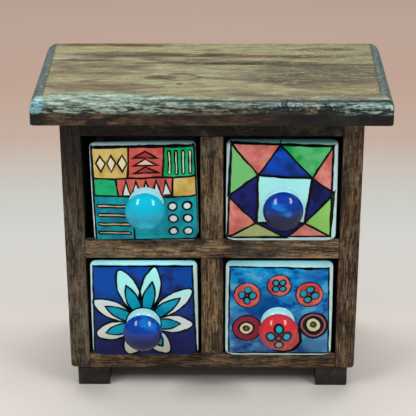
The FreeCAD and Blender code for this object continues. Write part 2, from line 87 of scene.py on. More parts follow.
class Wire:
    """A socket of a finish's node tree that takes part in sums as a number, a vector or a colour does."""

    def __init__(self, graph: "Graph", socket: bpy.types.NodeSocket) -> None:
        """Keeps the socket and the tree that it belongs to."""
        self.graph = graph
        self.socket = socket

    def other(self, name: str) -> "Wire":
        """Gives another output of the same node."""
        return Wire(self.graph, self.graph.find(self.socket.node.outputs, name))

    def _pair(self, word: str, first: Feed, second: Feed) -> "Wire":
        """Joins two feeds by the node that suits their kind.

        Args:
            word: the operation, as Math, Vector Math and Mix all call it.
            first: the left side.
            second: the right side.

        Returns:
            The result.
        """
        kinds = [side.socket.type for side in (first, second) if isinstance(side, Wire)]
        if "RGBA" in kinds:
            settings = {"data_type": "RGBA", "blend_type": word}
            feeds = {"Factor_Float": 1.0, "A_Color": first, "B_Color": second}
            return self.graph.add("ShaderNodeMix", settings, feeds, "Result_Color")
        if "VECTOR" in kinds:
            return self.graph.add("ShaderNodeVectorMath", {"operation": word}, {0: first, 1: second})
        return self.graph.add("ShaderNodeMath", {"operation": word}, {0: first, 1: second})

    def __add__(self, side: Feed) -> "Wire":
        """Adds."""
        return self._pair("ADD", self, side)

    def __radd__(self, side: Feed) -> "Wire":
        """Adds this to a number."""
        return self._pair("ADD", side, self)

    def __sub__(self, side: Feed) -> "Wire":
        """Subtracts."""
        return self._pair("SUBTRACT", self, side)

    def __rsub__(self, side: Feed) -> "Wire":
        """Subtracts this from a number."""
        return self._pair("SUBTRACT", side, self)

    def __mul__(self, side: Feed) -> "Wire":
        """Multiplies."""
        return self._pair("MULTIPLY", self, side)

    def __rmul__(self, side: Feed) -> "Wire":
        """Multiplies a number by this."""
        return self._pair("MULTIPLY", side, self)

    def __truediv__(self, side: Feed) -> "Wire":
        """Divides."""
        return self._pair("DIVIDE", self, side)

    def __rtruediv__(self, side: Feed) -> "Wire":
        """Divides a number by this."""
        return self._pair("DIVIDE", side, self)

    def __abs__(self) -> "Wire":
        """Drops the sign."""
        return self.graph.add("ShaderNodeMath", {"operation": "ABSOLUTE"}, {0: self})

    def __or__(self, side: Feed) -> "Wire":
        """Takes the smaller, which joins two painted shapes given as distances."""
        return self._pair("MINIMUM", self, side)

    def __and__(self, side: Feed) -> "Wire":
        """Takes the larger, which keeps what two shapes given as distances share."""
        return self._pair("MAXIMUM", self, side)

    def rise(self, start: float, end: float) -> "Wire":
        """Climbs smoothly from 0 at start to 1 at end, or falls where start is the larger.

        Args:
            start: where it is 0.
            end: where it is 1.

        Returns:
            The share.
        """
        settings = {"interpolation_type": "SMOOTHSTEP", "clamp": True}
        feeds = {"Value": self, "From Min": start, "From Max": end, "To Min": 0.0, "To Max": 1.0}
        if start > end:
            feeds = {"Value": self, "From Min": end, "From Max": start, "To Min": 1.0, "To Max": 0.0}
        return self.graph.add("ShaderNodeMapRange", settings, feeds, "Result")

    def between(self, start: float, full: float, fade: float, end: float) -> "Wire":
        """Gives 1 from full to fade, and 0 up to start and from end on."""
        return self.rise(start, full) * self.rise(end, fade)

    def inside(self, soft: float) -> "Wire":
        """Gives 1 where this distance is below zero and 0 above, over an edge soft millimetres wide."""
        return self.rise(soft / 2, -soft / 2)


class Graph:
    """The node tree of a material or of the world, and the one way in which nodes are added to it."""

    def __init__(self, name: str, world: bpy.types.World | None = None) -> None:
        """Makes a material of that name, or takes the world instead, and empties its tree.

        Args:
            name: the new material's name.
            world: the world that is taken instead.
        """
        self.material = world or bpy.data.materials.new(name)
        self.material.use_nodes = True
        self.tree = self.material.node_tree
        self.tree.nodes.clear()

    @staticmethod
    def find(sockets: Sequence[bpy.types.NodeSocket], key: int | str) -> bpy.types.NodeSocket:
        """Finds a socket by its number, identifier or name.

        Args:
            sockets: a node's inputs or outputs.
            key: the number, identifier or name.

        Returns:
            The socket.
        """
        if isinstance(key, int):
            return sockets[key]
        named = [socket for socket in sockets if socket.identifier == key]
        return named[0] if named else sockets[key]

    def add(self, kind: str, settings: dict, feeds: dict, output: int | str = 0) -> Wire:
        """Adds a node, sets it and feeds its sockets.

        Args:
            kind: the node's type.
            settings: its properties, set before its sockets; stops are a ramp's positions and colours.
            feeds: a value or a wire for each socket.
            output: which output is wanted; a vector's length and the like come from the second one.

        Returns:
            That output.
        """
        node = self.tree.nodes.new(kind)
        for name, value in settings.items():
            if name == "stops":
                self._stops(node.color_ramp, value)
            else:
                setattr(node, name, value)
        for key, feed in feeds.items():
            socket = self.find(node.inputs, key)
            if isinstance(feed, Wire):
                self.tree.links.new(feed.socket, socket)
            elif socket.type in ("VECTOR", "RGBA") and isinstance(feed, (int, float)):
                socket.default_value = [feed] * 3 + [1.0] * (socket.type == "RGBA")
            else:
                socket.default_value = feed
        return Wire(self, self.find(node.outputs, output) if node.outputs else None)

    @staticmethod
    def _stops(ramp: bpy.types.ColorRamp, stops: Sequence[tuple[float, str]]) -> None:
        """Gives a ramp its stops.

        Args:
            ramp: the ramp of a node.
            stops: each stop's position and colour.
        """
        for _ in range(len(stops) - len(ramp.elements)):
            ramp.elements.new(0.5)
        for element, (position, code) in zip(ramp.elements, stops):
            element.position = position
            element.color = tone(code)

    def place(self) -> Wire:
        """Gives the point on the object in millimetres of the chest's own frame."""
        point = self.add("ShaderNodeTexCoord", {}, {}, "Object")
        return point * (1000.0, 1000.0, 1000.0)

    def parts(self, point: Wire) -> tuple[Wire, Wire, Wire]:
        """Splits a point into its three numbers."""
        first = self.add("ShaderNodeSeparateXYZ", {}, {0: point})
        return first, first.other("Y"), first.other("Z")

    def noise(
        self, point: Wire, scale: float, detail: float, bend: float = 0.0, rough: float = 0.5
    ) -> Wire:
        """Adds a noise of about 1/scale millimetres at the point."""
        feeds = {"Vector": point, "Scale": scale, "Detail": detail, "Distortion": bend, "Roughness": rough}
        return self.add("ShaderNodeTexNoise", {}, feeds)

    def ramp(self, value: Wire, stops: Sequence[tuple[float, str]]) -> Wire:
        """Turns a value into the colours of a ramp."""
        return self.add("ShaderNodeValToRGB", {"stops": stops}, {"Fac": value})

    def blend(self, share: Feed, first: Feed, second: Feed) -> Wire:
        """Mixes two colours, written or wired.

        Args:
            share: how much the second one has.
            first: the colour at 0.
            second: the colour at 1.

        Returns:
            The mixture.
        """
        sides = [tone(side) if isinstance(side, str) else side for side in (first, second)]
        feeds = {"Factor_Float": share, "A_Color": sides[0], "B_Color": sides[1]}
        return self.add("ShaderNodeMix", {"data_type": "RGBA", "blend_type": "MIX"}, feeds, "Result_Color")

    def finish(
        self, colour: Wire, roughness: Feed, height: Wire | None, deep: float, **steady: float
    ) -> None:
        """Ends the tree in a shader.

        Args:
            colour: the base colour.
            roughness: a number or a wire.
            height: the relief, or None.
            deep: how many millimetres the relief's 0 to 1 stands for.
            steady: other sockets of the shader with one value all over, with _ for a space.
        """
        feeds = {"Base Color": colour, "Roughness": roughness}
        feeds.update({name.replace("_", " "): value for name, value in steady.items()})
        if height is not None:
            relief = {"Height": height, "Distance": deep * MM, "Strength": 1.0}
            feeds["Normal"] = self.add("ShaderNodeBump", {}, relief)
        shader = self.add("ShaderNodeBsdfPrincipled", {}, feeds)
        self.add("ShaderNodeOutputMaterial", {}, {"Surface": shader})


@dataclass(frozen=True)
class Finish:
    """The look of one kind of piece.

    Attributes:
        name: the material's name.
    """

    name: str

    def dress(self, point: Wire) -> None:
        """Fills the material's tree from the place on the piece, each finish in its own way."""
        raise NotImplementedError

    def build(self) -> bpy.types.Material:
        """Makes the material.

        Returns:
            The material.
        """
        graph = Graph(self.name)
        self.dress(graph.place())
        return graph.material


@dataclass(frozen=True)
class Timber(Finish):
    """Old hardwood with open pores, rubbed with dark wax.

    Attributes:
        grain: the direction of the fibres.
        middle: the usual colour.
        light: the rubbed fibres.
        seed: where in the noise this board is cut from.
        dark: the colour of the wax in the pores and hollows.
        stains: how much of the board dark stains cover.
        lip: where the board's front edge ends and the bay starts.
        inside: how far the board is painted near-black behind that, as painted shade in the bays, from 0 to 1.
        dust: how much grey-green wash is left on it.
        roof_shade: how much darker its upper part is painted, as painted shade under the roof.
        DUST: the wash's colour.
        BAY_SHADE: the near-black colour of that painted shade.
        ROOF_SHADE_RISE: the heights between which that painted shade darkens the board.
    """

    DUST = "807c6c"
    BAY_SHADE = "060504"
    ROOF_SHADE_RISE = (110.0, 150.0)

    grain: Axis
    middle: str
    light: str
    seed: float
    dark: str = "120d0a"
    stains: float = 0.40
    lip: float = -29.0
    inside: float = 0.0
    dust: float = 0.25
    roof_shade: float = 0.0

    def grained(self, point: Wire, along: float, *shape: float) -> Wire:
        """Adds a noise that is drawn out along the grain, so that it turns into fibres.

        Args:
            point: the place in millimetres.
            along: how fast it changes along the grain, as a share of how fast it does across it.
            shape: its scale, detail, bend and roughness, as Graph.noise takes them.

        Returns:
            The noise, at this board's own place in the wood.
        """
        scale = [1.0, 1.0, 1.0]
        scale[self.grain.value] = along
        shift = (self.seed, self.seed * 1.7, self.seed * 0.6)
        return point.graph.noise(point * tuple(scale) + shift, *shape)

    def wood(self, point: Wire) -> tuple[Wire, Wire]:
        """Lays bands, fibres, pores and stains over one another, then painted shade under the roof and in the
        bays.

        Args:
            point: the place in millimetres.

        Returns:
            The colour, and the height of the fibres from 0 to 1.
        """
        graph = point.graph
        bands = self.grained(point, 0.09, 0.20, 3.0, 0.7)
        fibres = self.grained(point, 0.08, 1.05, 5.0, 0.6, 0.72)
        pores = self.grained(point, 0.12, 1.50, 3.0, 0.2, 0.6)
        grit = graph.noise(point, 0.55, 4.0, 0.0, 0.7)
        mix = fibres * 0.62 + bands * 0.30 + grit * 0.18
        stops = [(0.455, self.dark), (0.54, self.middle), (0.65, self.light)]
        colour = graph.ramp(mix, stops)
        hollow = pores.rise(0.46, 0.36)
        colour = graph.blend(hollow * 0.85, colour, self.dark)
        stain = self.grained(point, 0.45, 0.045, 4.0, 0.9, 0.62)
        colour = graph.blend(stain.rise(0.50, 0.66) * self.stains * 2.0, colour, self.dark)
        dusty = graph.noise(point + (0.0, 0.0, self.seed), 0.06, 5.0, 0.5, 0.7)
        colour = graph.blend(dusty.rise(0.50, 0.68) * self.dust, colour, self.DUST)
        _, y, z = graph.parts(point)
        # The upper part is painted darker towards the roof: painted shade.
        above = (z + (bands - 0.5) * 60.0).rise(*self.ROOF_SHADE_RISE)
        colour = graph.blend(above * self.roof_shade, colour, self.dark)
        # Behind its front edge the board is painted near-black: painted shade in the bays.
        behind = (y + (grit - 0.5) * 3.0).rise(self.lip + 0.4, self.lip + 3.0)
        colour = graph.blend(behind * self.inside, colour, self.BAY_SHADE)
        return colour, fibres - hollow * 0.35

    def dress(self, point: Wire) -> None:
        """Oils the wood, which shines most on its raised fibres."""
        colour, height = self.wood(point)
        point.graph.finish(colour, 0.62 - height * 0.18, height, 0.35, Specular_IOR_Level=0.2)


@dataclass(frozen=True, kw_only=True)
class RoofTimber(Timber):
    """The roof board: scrubbed olive-tan wood on top, and a pale blue-green wash over its round front.

    Attributes:
        top: the height of the board's flat top.
        turn: how far the round comes down from the top.
        front: where the board's front is.
        half: half the board's length.
        MARKS: the stains and pale streaks on the top: middle, reach, colour and depth of each.
        OLIVE: where the wash is olive low on the front: start, full, fade and end, from left to right.
        BLOTS: where it is blotted with ink.
        RUBBED: where it is rubbed off down to the wood.
        BLUE: where it starts to turn blue, and where it is blue throughout.
        BENT: how far each slate end's inner edge draws outwards for each millimetre of depth.
        EYE: the middle of the eye in the grain.
        EYE_REACH: how far the eye reaches from there, along and across the board.
        DOT: the middle and reach of the dark dot before it.
        SHADE: the middle and reach of the brown shade to its left.
    """

    MARKS = (
        ((-62.0, 50.0), (48.0, 5.0), "5c493c", 0.9),
        ((-62.0, 42.5), (46.0, 4.0), "c2b070", 0.6),
        ((-50.0, 32.0), (42.0, 6.5), "54493e", 0.9),
        ((-6.0, 31.0), (34.0, 4.2), "4c4236", 0.9),
        ((44.0, 29.0), (50.0, 4.6), "6e5236", 0.95),
        ((8.0, 17.5), (62.0, 3.8), "2c3230", 0.95),
        ((60.0, 15.0), (40.0, 3.0), "3a3e38", 0.85),
        ((-80.0, 22.0), (26.0, 2.6), "443c30", 0.85),
        ((66.0, 42.0), (26.0, 2.2), "504a3e", 0.8),
        ((-68.0, -21.0), (44.0, 9.0), "7c6654", 0.75),
        ((74.0, -22.0), (30.0, 8.0), "b09468", 0.4),
        ((64.0, -2.0), (56.0, 24.0), "6b6456", 0.85),
        ((-30.0, -6.0), (13.0, 5.0), "6e5e4c", 0.8),
    )
    OLIVE = (-36.0, -10.0, 14.0, 36.0)
    BLOTS = (16.0, 30.0, 66.0, 78.0)
    RUBBED = (50.0, 53.0, 57.0, 60.0)
    BLUE = (10.0, 80.0)
    BENT = 0.016
    EYE = (-18.0, -6.0)
    EYE_REACH = (12.0, 5.2)
    DOT = ((-18.3, -17.2), (2.6, 1.5))
    SHADE = ((-29.0, -6.4), (11.0, 4.0))

    top: float
    turn: float
    front: float
    half: float

    @staticmethod
    def _spot(x: Wire, y: Wire, middle: Pair, reach: Pair) -> Wire:
        """Gives a soft spot: 1 at its middle, and 0 beyond its reach along and across the board."""
        along, across = (x - middle[0]) / reach[0], (y - middle[1]) / reach[1]
        return (1.0 - along * along - across * across).rise(0.0, 0.8)

    def _figure(self, point: Wire) -> tuple[Wire, Wire]:
        """Draws the scrubbed top: blotched and streaked, with one flat eye in the grain.

        Args:
            point: the place in millimetres.

        Returns:
            The colour, and the relief from 0 to 1.
        """
        graph = point.graph
        x, y, _ = graph.parts(point)
        drawn = self.grained(point, 0.10, 0.16, 5.0, 0.5, 0.65)
        wavy = y + (drawn - 0.5) * 13.0
        hue = self.grained(point, 0.20, 0.085, 4.0, 0.7, 0.6)
        strokes = self.grained(point, 0.13, 0.50, 6.0, 0.6, 0.78)
        speckle = self.grained(point, 0.5, 0.9, 3.0, 0.0, 0.7)
        stops = [(0.36, "82765f"), (0.45, "9f987a"), (0.54, "b6b28a"), (0.66, "a2a68c")]
        colour = graph.ramp(hue, stops)
        for middle, reach, code, depth in self.MARKS:
            mask = self._spot(x, wavy, middle, reach) * (strokes.rise(0.66, 0.42) * 0.6 + 0.4)
            colour = graph.blend(mask * depth, colour, code)
        dot = self._spot(x, y + (drawn - 0.5) * 3.0, *self.DOT)
        colour = graph.blend(dot * 0.7, colour, "3a3026")
        across = (y - self.EYE[1] + (strokes - 0.5) * 2.6) / self.EYE_REACH[1]
        along = (x - self.EYE[0]) / self.EYE_REACH[0]
        eye = along * along + abs(across)
        colour = graph.blend(eye.rise(1.1, 0.6) * 0.5, colour, "a89f7e")
        colour = graph.blend(self._spot(x, y, *self.SHADE) * 0.75, colour, "6a5c46")
        ring = abs(eye - 1.0).rise(0.26, 0.05) * (strokes.rise(0.60, 0.42) * 0.6 + 0.4)
        colour = graph.blend(ring, colour, "463a28")
        worn = strokes * 0.72 + speckle * 0.28
        colour = colour * graph.ramp(worn, [(0.34, "726e67"), (0.47, "b9b6b0"), (0.60, "dedede")])
        colour = colour * (1.0 - x.rise(-40.0, 60.0) * 0.13)
        scratched = self.grained(point, 0.32, 0.7, 3.0, 0.6)
        scratched = scratched.rise(0.62, 0.70) * x.rise(-20.0, 60.0) * 0.34
        return graph.blend(scratched, colour, "dad6c4"), strokes

    def _wash(self, point: Wire, drift: Wire) -> tuple[Wire, Wire]:
        """Draws the pale wash on the round front, inky towards the right, with the dark line above it.

        Args:
            point: the place in millimetres.
            drift: a ragged noise of a few millimetres.

        Returns:
            The wash's colour, and where it lies.
        """
        graph = point.graph
        x, y, z = graph.parts(point)
        low_edge = self.top - self.turn
        streaks = self.grained(point, 0.12, 0.72, 5.0, 0.3, 0.68)
        speck = self.grained(point, 0.40, 0.80, 4.0, 0.2, 0.7)
        mix = streaks * 0.65 + speck * 0.35
        green = graph.ramp(mix, [(0.40, "33443a"), (0.47, "6b7d70"), (0.54, "92a595"), (0.64, "cad8c8")])
        blue = graph.ramp(mix, [(0.45, "081416"), (0.50, "42605e"), (0.54, "83a09a"), (0.60, "cfe0d4")])
        bluish = (x + drift * 5.0).rise(*self.BLUE)
        wash = graph.blend(bluish * 0.75, green, blue)
        start, full, fade, end = self.OLIVE
        olive = (x - drift * 6.0).rise(start, full) * (x + drift * 6.0).rise(end, fade)
        below = (z + drift * 0.5).rise(low_edge + 3.6, low_edge + 1.2)
        wash = graph.blend(olive * below * 0.8, wash, graph.ramp(mix, [(0.42, "1c1a14"), (0.6, "7b7656")]))
        wash = graph.blend(below * mix.rise(0.53, 0.44) * 0.9, wash, "171c18")
        dabs = graph.noise(point * (0.85, 0.4, 0.4) + (7.0, 0.0, 0.0), 0.30, 4.0, 0.5, 0.65)
        reach = z - low_edge - (dabs - 0.5) * 26.0
        blots = (x + drift * 3.0).between(*self.BLOTS) * reach.rise(2.4, 1.0)
        wash = graph.blend(blots * 0.92, wash, "0a1216")
        rubbed = (x + drift).between(*self.RUBBED)
        wash = graph.blend(rubbed * speck.rise(0.47, 0.58) * 0.8, wash, "8f7a58")
        level = y - (self.front + 2.4) + drift * 0.16
        line = abs(level).rise(1.0, 0.35) * (x + drift * 5.0).rise(-50.0, -14.0)
        wash = graph.blend(line * 0.92, wash, graph.blend(bluish, "16231c", "082027"))
        under = abs(level + 1.0).rise(0.7, 0.1) * bluish * speck.rise(0.44, 0.56)
        wash = graph.blend(under * 0.6, wash, "22607a")
        corner = self._spot(x + drift * 0.5, z, (-98.0, self.top - 4.6), (7.5, 6.0))
        corner = corner * y.rise(self.front + 11.0, self.front + 5.0)
        sky = graph.ramp(mix, [(0.42, "3d8fae"), (0.6, "a6d8da")])
        wash = graph.blend(corner * speck.rise(0.38, 0.52), wash, sky)
        begins = self.front + 9.4 - x.rise(-60.0, 5.0) * 6.2
        edge_in = (y + drift * 0.55 - begins).rise(1.4, -1.4)
        edge_low = (z + drift * 0.50 - low_edge + bluish * 0.5).rise(-2.7, -0.9)
        return wash * 0.86, edge_in * edge_low

    def dress(self, point: Wire) -> None:
        """Scrubs the top, blackens the round and lays the wash over it.

        Args:
            point: the place in millimetres.
        """
        graph = point.graph
        x, y, z = graph.parts(point)
        low_edge = self.top - self.turn
        waxed, fibres = self.wood(point)
        scrubbed, figure = self._figure(point)
        ragged = self.grained(point, 0.22, 0.30, 6.0, 0.5, 0.68)
        drift = (ragged - 0.5) * 8.0
        colour = graph.blend((z + drift * 0.12).rise(self.top - 2.6, self.top - 1.6), waxed, scrubbed)
        below = z.rise(low_edge + 0.6, low_edge - 1.0)
        inky = (x + drift * 5.0).rise(-70.0, 60.0) * 0.52 + 0.28
        colour = graph.blend(below * inky, colour, "0b0807")
        black_corner = (abs(x) + drift * 0.6).rise(self.half - 12.0, self.half - 6.0) * below
        colour = graph.blend(black_corner * 0.85, colour, "080b0b")
        wash, washed = self._wash(point, drift)
        colour = graph.blend(washed, colour, wash)
        mottled = graph.noise(point, 0.45, 4.0, 0.3, 0.65)
        slate = graph.ramp(mottled, [(0.36, "37413f"), (0.5, "505d5b"), (0.66, "70807d")])
        inner = self.half - self.turn
        endwards = abs(x) - y * self.BENT
        at_end = (endwards + drift * 0.1).rise(inner - 0.4, inner + 0.5)
        high = z.rise(low_edge - 3.0, low_edge)
        behind = y.rise(self.front + 4.0, self.front + 7.5)
        colour = graph.blend(at_end * high * behind, colour, slate)
        seam = abs(endwards + drift * 0.08 - inner).rise(0.9, 0.3) * behind * high
        colour = graph.blend(seam * 0.5, colour, "33352d")
        height = fibres * 0.4 + figure * 0.6
        graph.finish(colour, 0.62 - figure * 0.10, height, 0.45, Specular_IOR_Level=0.25)


@dataclass(frozen=True)
class Charcoal(Finish):
    """Feet painted charcoal black over end grain, rubbed at the corners.

    Attributes:
        seed: where in the noise it is cut from.
    """

    seed: float

    def dress(self, point: Wire) -> None:
        """Paints the block black and rubs it.

        Args:
            point: the place in millimetres.
        """
        graph = point.graph
        point = point + (self.seed, 0.0, self.seed)
        broad = graph.noise(point, 0.18, 4.0, 0.5)
        fine = graph.noise(point * (1.0, 1.0, 0.25), 1.4, 4.0)
        colour = graph.ramp(broad * 0.6 + fine * 0.4, [(0.35, "171414"), (0.55, "2c2826"), (0.75, "4a413d")])
        graph.finish(colour, 0.68 - broad * 0.15, fine, 0.25, Specular_IOR_Level=0.25)


@dataclass(frozen=True)
class PlyWood(Finish):
    """The thin panel at the back: rotary-cut veneer, stained brown."""

    def dress(self, point: Wire) -> None:
        """Draws the veneer's wide figure and its fine pores.

        Args:
            point: the place in millimetres.
        """
        graph = point.graph
        point = point * (1.0, 1.0, 0.12)
        rings = graph.noise(point, 0.09, 3.0, 2.2)
        fine = graph.noise(point, 1.6, 4.0)
        colour = graph.ramp(rings * 0.6 + fine * 0.4, [(0.34, "59432f"), (0.5, "7c6146"), (0.68, "96795a")])
        graph.finish(colour, 0.72 - fine * 0.1, fine, 0.12)


@dataclass(frozen=True)
class WireSteel(Finish):
    """Dull steel wire, browned a little by age."""

    def dress(self, point: Wire) -> None:
        """Browns the steel in spots.

        Args:
            point: the place in millimetres.
        """
        graph = point.graph
        spots = graph.noise(point, 1.1, 4.0)
        colour = graph.ramp(spots, [(0.42, "8d8a86"), (0.56, "6f6a64"), (0.68, "5b4232")])
        graph.finish(colour, spots.rise(0.35, 0.7) * 0.35 + 0.3, spots, 0.05, Metallic=0.85)


class Brush:
    """Lays glaze colours on a front as a painter does: fills first, then black outlines over all.

    Attributes:
        INK: the outlines' colour.
        SOFT_INK: how wide their edges fade, in millimetres.
        SOFT_FILL: how wide a fill's edge fades.
        LINE_SHARE: how far an outline reaches to each side, as a share of its width.
        LEAF_STEPS: how often a leaf's length is put right until its rounded tip ends where it should.
    """

    INK = "020203"
    SOFT_INK = 0.40
    SOFT_FILL = 0.35
    LINE_SHARE = 0.62
    LEAF_STEPS = 30

    def __init__(self, spot: Wire, ground: Feed, wash: Wire) -> None:
        """Starts on a ground.

        Args:
            spot: the place on the front in its own millimetres, across and upwards from its middle.
            ground: the colour that lies under the paint.
            wash: a slow noise for the brushwork.
        """
        self.graph = spot.graph
        self.spot = spot
        self.colour = ground
        self.wash = wash
        self.press = (self.graph.noise(spot, 0.14, 2.0) - 0.5) * 0.9
        self.ink: Wire | None = None

    def _measure(self, word: str, point: Wire, other: Feed) -> Wire:
        """Gives the number that a Vector Math node works out from two places."""
        return self.graph.add("ShaderNodeVectorMath", {"operation": word}, {0: point, 1: other}, "Value")

    def across(self) -> Wire:
        """Gives how far the place lies to the right of the painting's middle."""
        return self.graph.parts(self.spot)[0]

    def upwards(self) -> Wire:
        """Gives how far the place lies above the painting's middle."""
        return self.graph.parts(self.spot)[1]

    def tint(self, deep: Feed, pale: Feed, start: float = 0.35, end: float = 0.65) -> Wire:
        """Mixes two tones of one glaze as the slow noise of the brushwork goes."""
        return self.graph.blend(self.wash.rise(start, end), deep, pale)

    def disc(self, middle: Sequence[float], radius: float) -> Wire:
        """Gives the distance from a disc's edge."""
        return self._measure("DISTANCE", self.spot, (middle[0], middle[1], 0.0)) - radius

    def cloud(self, middle: Sequence[float], reach: float, full: float) -> Wire:
        """Gives a soft round cloud: 1 up to full from its middle, and 0 beyond its reach."""
        return self.disc(middle, 0.0).rise(reach, full)

    def leaf(self, base: Sequence[float], tip: Sequence[float], width: float, blunt: float = 0.0) -> Wire:
        """Gives the distance from a leaf's edge, which is where two large discs overlap.

        Args:
            base: where the leaf starts.
            tip: where it ends.
            width: its greatest width.
            blunt: the radius at which its tip is rounded.

        Returns:
            The distance, below zero inside.
        """
        start, end = np.array(base, float), np.array(tip, float)
        length = float(np.hypot(*(end - start)))
        ahead = (end - start) / length
        across = np.array([-ahead[1], ahead[0]])
        wide, half, reach, radius = width / 2, length / 2, 0.0, 0.0
        for _ in range(self.LEAF_STEPS):
            radius = (half**2 + wide**2) / (2 * wide)
            reach = math.sqrt((radius - blunt) ** 2 - (radius - wide) ** 2)
            half += (length - half - reach - blunt) / 2
        middle = start + ahead * half
        sides = [self.disc(middle + across * way * (radius - wide), radius) for way in (-1, 1)]
        pointed = sides[0] & sides[1]
        if not blunt:
            return pointed
        turn, touch = middle + ahead * reach, middle + ahead * (reach * radius / (radius - blunt))
        beyond = self._measure("DOT_PRODUCT", self.spot, (ahead[0], ahead[1], 0.0))
        return (pointed & (beyond - float(ahead @ touch))) | self.disc(turn, blunt)

    def patch(self, *corners: Sequence[float]) -> Wire:
        """Gives the distance from a convex patch's edge, from its corners in turn.

        Args:
            corners: the corners, one after another either way round.

        Returns:
            The distance, below zero inside.
        """
        points = [np.array(corner, float) for corner in corners]
        middle = sum(points) / len(points)
        distance = None
        for start, end in zip(points, points[1:] + points[:1]):
            line = (end - start) / np.hypot(*(end - start))
            out = np.array([line[1], -line[0]])
            out = out if out @ (start - middle) > 0 else -out
            edge = self._measure("DOT_PRODUCT", self.spot, (out[0], out[1], 0.0)) - float(out @ start)
            distance = edge if distance is None else distance & edge
        return distance

    def stroke(self, start: Sequence[float], end: Sequence[float], width: float) -> Wire:
        """Gives the distance from the edge of a straight stroke with round ends.

        Args:
            start: the middle of its first end.
            end: the middle of its last end.
            width: how wide it is.

        Returns:
            The distance, below zero inside.
        """
        line = np.array(end, float) - np.array(start, float)
        reach = line / float(line @ line)
        away = self.spot - (start[0], start[1], 0.0)
        share = self._measure("DOT_PRODUCT", away, (reach[0], reach[1], 0.0))
        share = self.graph.add("ShaderNodeClamp", {}, {"Value": share})
        feeds = {0: (line[0], line[1], 0.0), "Scale": share}
        foot = self.graph.add("ShaderNodeVectorMath", {"operation": "SCALE"}, feeds)
        return self._measure("DISTANCE", away, foot) - width / 2

    def fill(self, distance: Wire, colour: Feed) -> None:
        """Lays a colour inside a shape."""
        self.colour = self.graph.blend(distance.inside(self.SOFT_FILL), self.colour, colour)

    def line(self, distance: Wire, width: float) -> None:
        """Remembers an outline along a shape's edge."""
        self.blot(abs(distance) - width * self.LINE_SHARE)

    def blot(self, distance: Wire) -> None:
        """Remembers a shape that is filled with black."""
        self.ink = distance if self.ink is None else self.ink | distance

    def outlined(self, distance: Wire, colour: Feed, width: float) -> None:
        """Fills a shape and remembers its outline."""
        self.fill(distance, colour)
        self.line(distance, width)

    def set_ink(self) -> None:
        """Draws what was remembered and starts afresh."""
        if self.ink is not None:
            mask = (self.ink + self.press).inside(self.SOFT_INK)
            self.colour = self.graph.blend(mask, self.colour, self.INK)
        self.ink = None


@dataclass(frozen=True)
class Glaze(Finish):
    """A clear glaze over painted slip on white clay.

    Attributes:
        middle: the front's middle, across and upwards, in the chest's millimetres.
        face: where the front's painted face is.
        seed: where in the noise it is cut from.
        lean: how far the front stands askew, in degrees.
        shift: how far the painting's middle is from the front's.
        clay: the colour of the bare glaze.
        rim: the colour of the glaze pooled on the upper edge; on the upper drawers it is darker, as painted
            shade from the roof.
        waver: how far the painter's lines stray, in millimetres.
        GREYED: the colour of the bare glaze where it lies thin.
        TRAY: the colour of the tray behind the front.
        SPREAD: how far a painted ground spreads beyond its corners.
        POOL_AND_SHADE: how far above the middle that upper edge's colour starts and is full.
        PAINTED: how far behind the face the paint is full and ends.
        WHITE: how far behind the face the tray's colour starts and is full.
        FIRM: how far from the middle the painter's hand is firmest, and up to where it strays in full.
    """

    GREYED = "c6d8d6"
    TRAY = "dce4de"
    SPREAD = 0.4
    POOL_AND_SHADE = (27.5, 30.8)
    PAINTED = (3.6, 4.2)
    WHITE = (6.6, 9.0)
    FIRM = (27.0, 23.0)

    middle: Pair
    face: float
    seed: float
    lean: float = 0.0
    shift: Pair = (0.0, 0.0)
    clay: str = "c4e8ea"
    rim: str = "a4eef6"
    waver: float = 1.8

    def paint(self, brush: Brush) -> None:
        """Paints the front; a plain glaze has nothing on it."""

    def spot(self, point: Wire) -> Wire:
        """Gives the place on the front, wavering as a painter's hand does.

        Args:
            point: the place in millimetres.

        Returns:
            The place across and upwards from the painting's middle.
        """
        graph = point.graph
        shifted = point - (self.middle[0] + self.shift[0], 0.0, self.middle[1] + self.shift[1])
        if self.lean:
            feeds = {"Vector": shifted, "Angle": math.radians(self.lean)}
            shifted = graph.add("ShaderNodeVectorRotate", {"rotation_type": "Y_AXIS"}, feeds)
        x, _, z = graph.parts(shifted)
        flat = graph.add("ShaderNodeCombineXYZ", {}, {"X": x, "Y": z})
        stray = graph.noise(flat + (self.seed, self.seed * 2.3, 0.0), 0.09, 2.0).other("Color")
        feeds = {0: stray, 1: (self.waver,) * 3, 2: (-self.waver / 2,) * 3}
        bent = graph.add("ShaderNodeVectorMath", {"operation": "MULTIPLY_ADD"}, feeds)
        firm = (abs(x) & abs(z)).rise(*self.FIRM) * 0.75 + 0.25
        return flat + bent * (1.0, 1.0, 0.0) * firm

    def dress(self, point: Wire) -> None:
        """Glazes the whole drawer and lays the painting on its face.

        Args:
            point: the place in millimetres.
        """
        graph = point.graph
        _, y, z = graph.parts(point)
        wash = graph.noise(point + (self.seed, 0.0, self.seed), 0.11, 2.5, 0.15, 0.55)
        pool_and_shade = z.rise(self.middle[1] + self.POOL_AND_SHADE[0], self.middle[1] + self.POOL_AND_SHADE[1])
        body = graph.blend(wash.rise(0.35, 0.7) * 0.5, self.clay, self.GREYED)
        # The upper edge takes the rim's colour: pooled glaze, and on the upper drawers painted shade.
        body = graph.blend(pool_and_shade, body, self.rim)
        white = y.rise(self.face + self.WHITE[0], self.face + self.WHITE[1])
        body = graph.blend(white, body, self.TRAY)
        brush = Brush(self.spot(point), body, wash)
        self.paint(brush)
        brush.set_ink()
        on_face = y.rise(self.face + self.PAINTED[1], self.face + self.PAINTED[0])
        colour = graph.blend(on_face, body, brush.colour)
        speckle = graph.noise(point, 0.9, 2.0)
        swell = graph.noise(point, 0.10, 2.0)
        steady = {"Coat_Weight": 0.2, "Coat_Roughness": 0.05, "Specular_IOR_Level": 0.0}
        graph.finish(colour, speckle.rise(0.6, 0.8) * 0.12 + 0.14, swell, 0.35, **steady)


